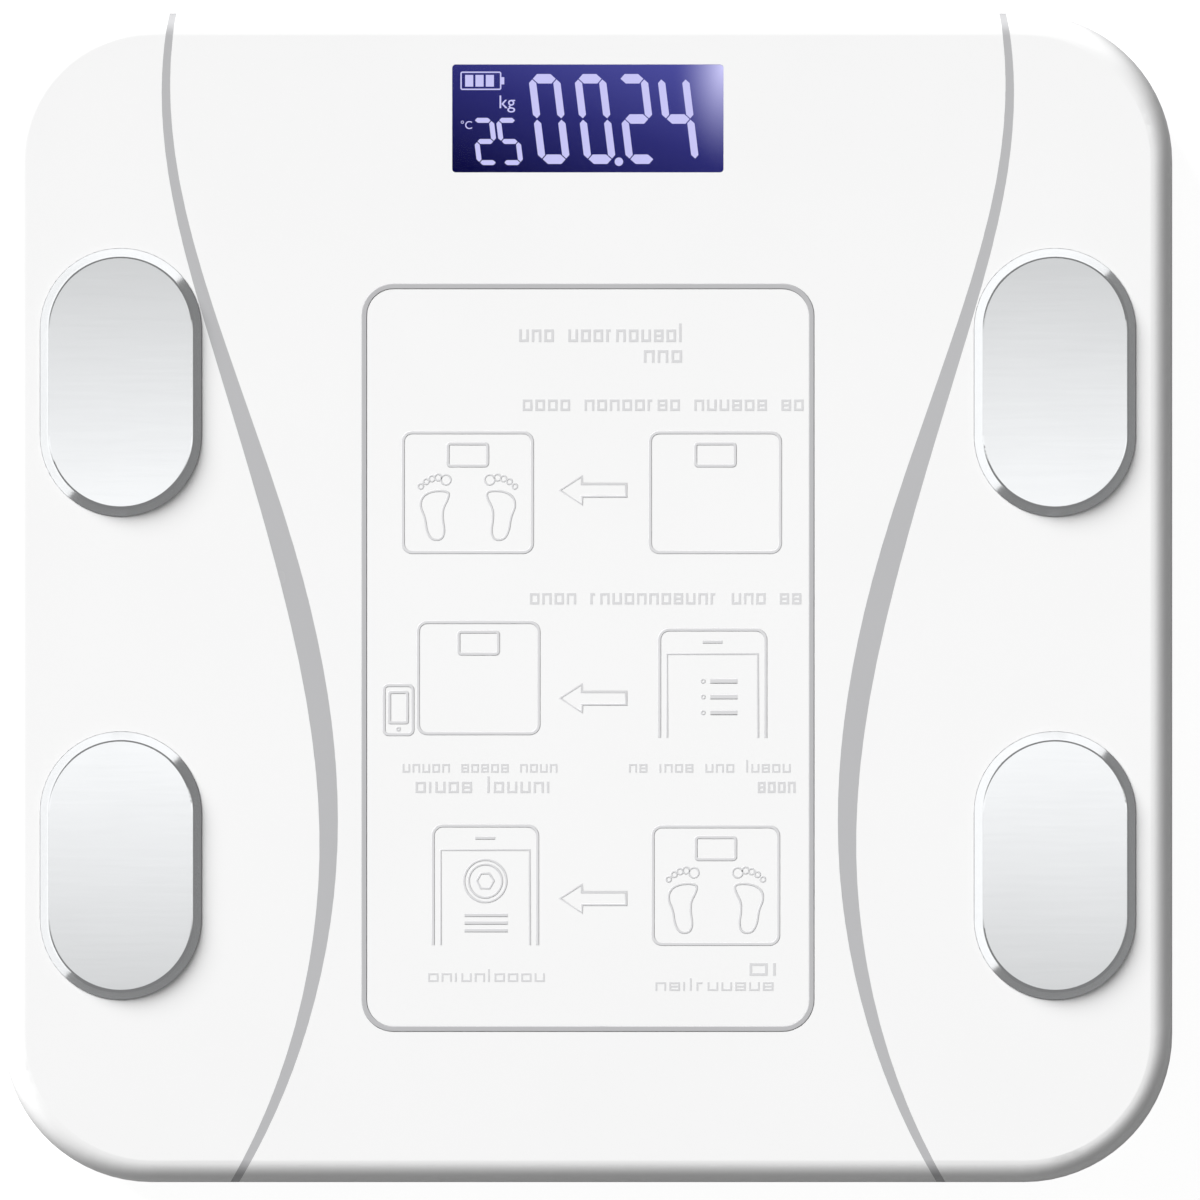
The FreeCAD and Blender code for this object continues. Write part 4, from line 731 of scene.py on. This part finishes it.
def addDigit(bm, numeral, x, y, height, width, across, upright):
    half, rise, gap, lean = width / 2, height / 2, digits["gap"], digits["lean"]

    def bar(ax, ay, bx, by, thick):
        # A bar with pointed ends between two corners of the figure.
        tip = thick / 2
        if ay == by:
            shape = [(ax + gap, ay), (ax + gap + tip, ay + tip), (bx - gap - tip, ay + tip),
                     (bx - gap, ay), (bx - gap - tip, ay - tip), (ax + gap + tip, ay - tip)]
        else:
            shape = [(ax, ay + gap), (ax + tip, ay + gap + tip), (ax + tip, by - gap - tip),
                     (ax, by - gap), (ax - tip, by - gap - tip), (ax - tip, ay + gap + tip)]
        addPatch(bm, [(x + u + v * lean, y + v) for u, v in shape], glassTop, segmentHeight)

    w, h = half - upright / 2, rise - across / 2
    places = {"a": (-w, h, w, h, across), "g": (-w, 0, w, 0, across), "d": (-w, -h, w, -h, across),
              "f": (-w, 0, -w, h, upright), "b": (w, 0, w, h, upright),
              "e": (-w, -h, -w, 0, upright), "c": (w, -h, w, 0, upright)}
    for segment in segmentsOf[numeral]:
        bar(*places[segment])


def addWord(bm, text, x, y, height):
    # A unit sign in the plain built-in face, made a mesh before it is placed.
    curve = bpy.data.curves.new("unit", "FONT")
    curve.body = text
    curve.size = 1.0
    curve.extrude = 0.01
    holder = bpy.data.objects.new("unit", curve)
    mesh = bpy.data.meshes.new_from_object(holder)
    scale = height * milli / 0.7  # a capital of this face is 0.7 of its size
    place = Matrix.Translation((x * milli, y * milli, glassTop + 0.00003))
    mesh.transform(place @ Matrix.Diagonal((scale, scale, scale * 0.6, 1)))
    bm.from_mesh(mesh)
    bpy.data.meshes.remove(mesh)
    bpy.data.objects.remove(holder)
    bpy.data.curves.remove(curve)


def makeSegments():
    bm = bmesh.new()
    for numeral, x in zip(digits["numerals"], digits["centres"]):
        addDigit(bm, numeral, x, digits["y"], digits["height"], digits["width"], digits["across"],
                 digits["upright"])
    addPatch(bm, ring(point["x"], point["y"], point["radius"], 16), glassTop, segmentHeight)
    finishPiece("weightDigits", bm, segmentGlow)
    bm = bmesh.new()
    for numeral, x in smallDigits["places"]:
        addDigit(bm, numeral, x, smallDigits["y"], smallDigits["height"], smallDigits["width"],
                 smallDigits["stroke"], smallDigits["stroke"])
    finishPiece("smallDigits", bm, segmentGlow)
    bm = bmesh.new()
    for sign in unitSigns:
        addWord(bm, *sign)
    finishPiece("unitSigns", bm, segmentGlow)
    bm = bmesh.new()
    for number in range(battery["bars"]):
        left, low, high = battery["left"] + number * battery["step"], battery["low"], battery["high"]
        right = left + battery["width"]
        addPatch(bm, [(left, low), (right, low), (right, high), (left, high)], glassTop, segmentHeight)
    addStroke(bm, roundedBox(*battery["case"]), battery["line"], level=glassTop + 0.00004)
    addPatch(bm, battery["cap"], glassTop, segmentHeight)
    finishPiece("batterySign", bm, segmentGlow)


makeSegments()
print("display done")


# Small parts under and inside


def block(bm, centre, size, edge=0.0, segments=2):
    # One moulded block in millimetres with rounded edges.
    made = bmesh.ops.create_cube(bm, size=milli)["verts"]
    bmesh.ops.scale(bm, vec=size, verts=made)
    bmesh.ops.translate(bm, vec=[milli * value for value in centre], verts=made)
    if edge:
        edges = list({link for vert in made for link in vert.link_edges})
        bmesh.ops.bevel(bm, geom=edges, offset=edge * milli, offset_type="OFFSET", affect="EDGES",
                        segments=segments, profile=0.5, material=-1)


def turned(bm, profile, x, y, steps=96):
    # A profile of (radius, height) points turned about an upright axis at x, y.
    verts = [bm.verts.new((radius * milli, 0, height * milli)) for radius, height in profile]
    edges = [bm.edges.new(pair) for pair in zip(verts, verts[1:])]
    bmesh.ops.spin(bm, geom=verts + edges, cent=(0, 0, 0), axis=(0, 0, 1), angle=2 * math.pi,
                   steps=steps, use_merge=True, use_normal_flip=False, use_duplicate=False)
    bmesh.ops.remove_doubles(bm, verts=bm.verts, dist=1e-7)
    bmesh.ops.recalc_face_normals(bm, faces=bm.faces)
    bmesh.ops.translate(bm, vec=(x * milli, y * milli, 0), verts=bm.verts)


def smoothShade(piece, angle=30.0):
    for face in piece.data.polygons:
        face.use_smooth = True
    piece.data.set_sharp_from_angle(angle=math.radians(angle))


sole = {"radius": 19.0, "height": 2.6, "edge": 0.55, "grooves": (4.5, 8.0, 11.5, 15.0),
        "grooveWidth": 1.1, "grooveDepth": 0.5, "slant": 0.15}


def middleOf(node):
    # The middle and the highest level of a piece, in millimetres.
    low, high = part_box(node)
    return (low.x + high.x) / 2 / milli, (low.y + high.y) / 2 / milli, high.z / milli


def makeSoles():
    radius, edge, slant = sole["radius"], sole["edge"], sole["slant"]
    profile = [(0.0, sole["height"]), (radius, sole["height"]), (radius, edge)]
    for angle in [step * math.pi / 8 for step in range(1, 5)]:
        profile.append((radius - edge * (1 - math.cos(angle)), edge * (1 - math.sin(angle))))
    for groove in reversed(sole["grooves"]):
        outer, inner = groove + sole["grooveWidth"] / 2, groove - sole["grooveWidth"] / 2
        profile += [(outer, 0.0), (outer - slant, sole["grooveDepth"]),
                    (inner + slant, sole["grooveDepth"]), (inner, 0.0)]
    profile.append((0.0, 0.0))
    for node in [name for name in nodes if name.startswith("foot_sole_")]:
        x, y, _ = middleOf(node)
        bm = bmesh.new()
        turned(bm, profile, x, y)
        body = node.replace("foot_sole", "foot")
        piece = finishPiece("grooved_" + node, bm, soleRubber, body=body)
        smoothShade(piece)
        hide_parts(node)


grip = {"bars": 5, "first": 12.9, "step": 1.25, "length": 9.0, "width": 0.6, "rise": 0.35, "edge": 0.15}
arrowMark = {"x": 0.0, "y": 5.5, "half": 2.4, "length": 3.6}
label = {"x": 0.0, "y": -62.0, "width": 66.0, "height": 38.0, "round": 2.0, "thick": 0.12}
cupRim = {"inner": 23.6, "outer": 25.3, "slopeIn": 0.2, "slopeOut": 0.4, "rise": 0.5, "steps": 96}
buttonRim = {"inner": 4.9, "outer": 6.3, "slopeIn": 0.2, "slopeOut": 0.3, "rise": 0.4, "steps": 64}
buttonRing = {"inner": 1.6, "outer": 2.2, "slopeIn": 0.1, "slopeOut": 0.1, "rise": 0.22, "level": 4.42,
              "steps": 48}


def raisedRing(bm, shape, level, x, y):
    # A low ring hanging below a level, with slanting walls.
    low = level - shape["rise"]
    inner, outer = shape["inner"], shape["outer"]
    profile = [(inner, level), (inner + shape["slopeIn"], low), (outer - shape["slopeOut"], low),
               (outer, level), (inner, level)]
    turned(bm, profile, x, y, shape["steps"])


def makeUnderside():
    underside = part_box("base_cover")[0].z / milli
    bm = bmesh.new()
    for number in range(grip["bars"]):
        y = grip["first"] + number * grip["step"]
        block(bm, (0, y, underside - grip["rise"] / 2), (grip["length"], grip["width"], grip["rise"]),
              grip["edge"])
    x, tip, half = arrowMark["x"], arrowMark["y"], arrowMark["half"]
    foot = tip + arrowMark["length"]
    addPatch(bm, [(x - half, foot), (x + half, foot), (x, tip)],
             level=(underside - grip["rise"]) * milli, height=grip["rise"])
    finishPiece("doorGrip", bm, whiteBase, body="door")
    bm = bmesh.new()
    addPatch(bm, roundedBox(label["x"], label["y"], label["width"], label["height"], label["round"]),
             level=(underside - label["thick"]) * milli, height=label["thick"])
    finishPiece("blankPlate", bm, plateSilver)
    for node in [name for name in nodes if name.startswith("foot_cup_")]:
        x, y, _ = middleOf(node)
        bm = bmesh.new()
        raisedRing(bm, cupRim, underside, x, y)
        smoothShade(finishPiece("rim_" + node, bm, whiteBase))
    _, middle, _ = middleOf("unit_button")
    bm = bmesh.new()
    raisedRing(bm, buttonRim, underside, 0, middle)
    smoothShade(finishPiece("buttonRim", bm, whiteBase))
    bm = bmesh.new()
    raisedRing(bm, buttonRing, buttonRing["level"], 0, middle)
    smoothShade(finishPiece("buttonRing", bm, greyButton, body="button"))


gauge = {"film": (5.0, 3.6, 0.08), "filmDown": 4.6, "filmEdge": 0.02, "resin": (8.0, 6.5, 0.7),
         "offset": 5.0, "smooth": 60}


def makeGauges():
    # The strain gauge of each load cell under a drop of resin, on the tongue of the cell.
    for node in [name for name in nodes if name.startswith("load_cell_")]:
        x, y, top = middleOf(node)
        y += gauge["offset"]
        wide, deep, tall = gauge["resin"]
        bm = bmesh.new()
        bmesh.ops.create_uvsphere(bm, u_segments=32, v_segments=16, radius=0.5 * milli)
        bmesh.ops.bisect_plane(bm, geom=bm.verts[:] + bm.edges[:] + bm.faces[:], plane_co=(0, 0, 0),
                               plane_no=(0, 0, -1), clear_outer=True)
        bmesh.ops.scale(bm, vec=(wide, deep, tall * 2), verts=bm.verts)
        bmesh.ops.translate(bm, vec=(x * milli, y * milli, top * milli), verts=bm.verts)
        drop = finishPiece("resin_" + node, bm, ivoryPlastic)
        smoothShade(drop, gauge["smooth"])
        bm = bmesh.new()
        place = (x, y - gauge["filmDown"], top + gauge["film"][2] / 2)
        block(bm, place, gauge["film"], gauge["filmEdge"], 1)
        finishPiece("gauge_" + node, bm, amberFilm)


chip = {"legs": 11, "pitch": 0.8, "width": 0.32, "reach": 1.0, "height": 0.2}
shield = {"left": 1.6, "sides": 4.6, "ends": 1.0, "height": 1.0, "edge": 0.3}
antenna = {"turns": 5, "step": 1.9, "start": 1.2, "width": 0.4, "thick": 0.08, "length": 1.6,
           "shift": 0.5, "across": 1.5, "inset": 0.9, "rail": 0.4}
smallParts = {"seed": 3, "columns": 9, "rows": 2, "left": -38.0, "step": 3.4, "gap": 26.0, "split": 4,
              "stray": 0.3, "y": 118.4, "rowStep": 2.6, "body": (1.1, 0.9, 0.6), "end": (0.4, 0.95, 0.62),
              "endAt": 0.75, "level": 0.3, "bodyEdge": 0.08, "endEdge": 0.05, "clear": (5, 43)}
crystal = {"x": -6.5, "y": 116.5, "size": (3.2, 8.0, 2.0), "edge": 0.9, "steps": 4}
switchLeg = {"out": 0.5, "apart": 2.2, "down": 0.35, "size": (1.0, 0.7, 0.7), "edge": 0.1}


def makeChipLegs(board):
    low, high = [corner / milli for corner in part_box("controller_chip")]
    x, y, half = (low.x + high.x) / 2, (low.y + high.y) / 2, (high.x - low.x) / 2
    bm = bmesh.new()
    out, wide, tall = chip["reach"], chip["width"], chip["height"]
    reach, level = half + out / 2, board - tall / 2
    for number in range(chip["legs"]):
        along = (number - (chip["legs"] - 1) / 2) * chip["pitch"]
        for hand in (-1, 1):
            block(bm, (x + hand * reach, y + along, level), (out, wide, tall))
            block(bm, (x + along, y + hand * reach, level), (wide, out, tall))
    finishPiece("chipLegs", bm, nickel)


def makeRadioParts():
    low, high = [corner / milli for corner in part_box("radio_module")]
    bm = bmesh.new()
    middle = ((low.x + high.x) / 2 - shield["left"], (low.y + high.y) / 2, low.z - shield["height"] / 2)
    size = (high.x - low.x - shield["sides"], high.y - low.y - shield["ends"], shield["height"])
    block(bm, middle, size, shield["edge"])
    finishPiece("radioShield", bm, cellSteel)
    bm = bmesh.new()
    width, thick, step = antenna["width"], antenna["thick"], antenna["step"]
    level = low.z - thick / 2
    for turn in range(antenna["turns"]):  # the folded track of the antenna
        y, odd = low.y + antenna["start"] + turn * step, turn % 2
        block(bm, (high.x - antenna["inset"] - antenna["shift"] * odd, y, level),
              (antenna["length"], width, thick))
        block(bm, (high.x - antenna["rail"] - antenna["across"] * odd, y + step / 2, level),
              (width, step, thick))
    finishPiece("antenna", bm, nickel)


def makeSmallParts(board):
    chance = random.Random(smallParts["seed"])
    bodies, ends = bmesh.new(), bmesh.new()
    level = board - smallParts["level"]
    nearest, farthest = smallParts["clear"]
    for column in range(smallParts["columns"]):
        for row in range(smallParts["rows"]):
            x = smallParts["left"] + column * smallParts["step"]
            x += smallParts["gap"] if column > smallParts["split"] else 0.0
            x += chance.uniform(-smallParts["stray"], smallParts["stray"])
            y = smallParts["y"] + row * smallParts["rowStep"]
            if abs(x) > farthest or abs(x) < nearest:
                continue
            block(bodies, (x, y, level), smallParts["body"], smallParts["bodyEdge"], 1)
            for hand in (-1, 1):
                place = (x + hand * smallParts["endAt"], y, level)
                block(ends, place, smallParts["end"], smallParts["endEdge"], 1)
    finishPiece("smallParts", bodies, blackPlastic)
    finishPiece("smallPartEnds", ends, zincScrew)


def makeBoardParts():
    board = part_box("main_board")[0].z / milli
    makeChipLegs(board)
    makeRadioParts()
    makeSmallParts(board)
    bm = bmesh.new()
    place = (crystal["x"], crystal["y"], board - crystal["size"][2] / 2)
    block(bm, place, crystal["size"], crystal["edge"], crystal["steps"])
    finishPiece("crystalCan", bm, cellSteel)
    low, high = [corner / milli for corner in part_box("push_switch")]
    bm = bmesh.new()
    for a in (-1, 1):
        for b in (-1, 1):
            place = (a * (high.x + switchLeg["out"]), (low.y + high.y) / 2 + b * switchLeg["apart"],
                     board - switchLeg["down"])
            block(bm, place, switchLeg["size"], switchLeg["edge"], 1)
    finishPiece("switchLegs", bm, nickel)


makeSoles()
makeUnderside()
makeGauges()
makeBoardParts()
print("small parts done")
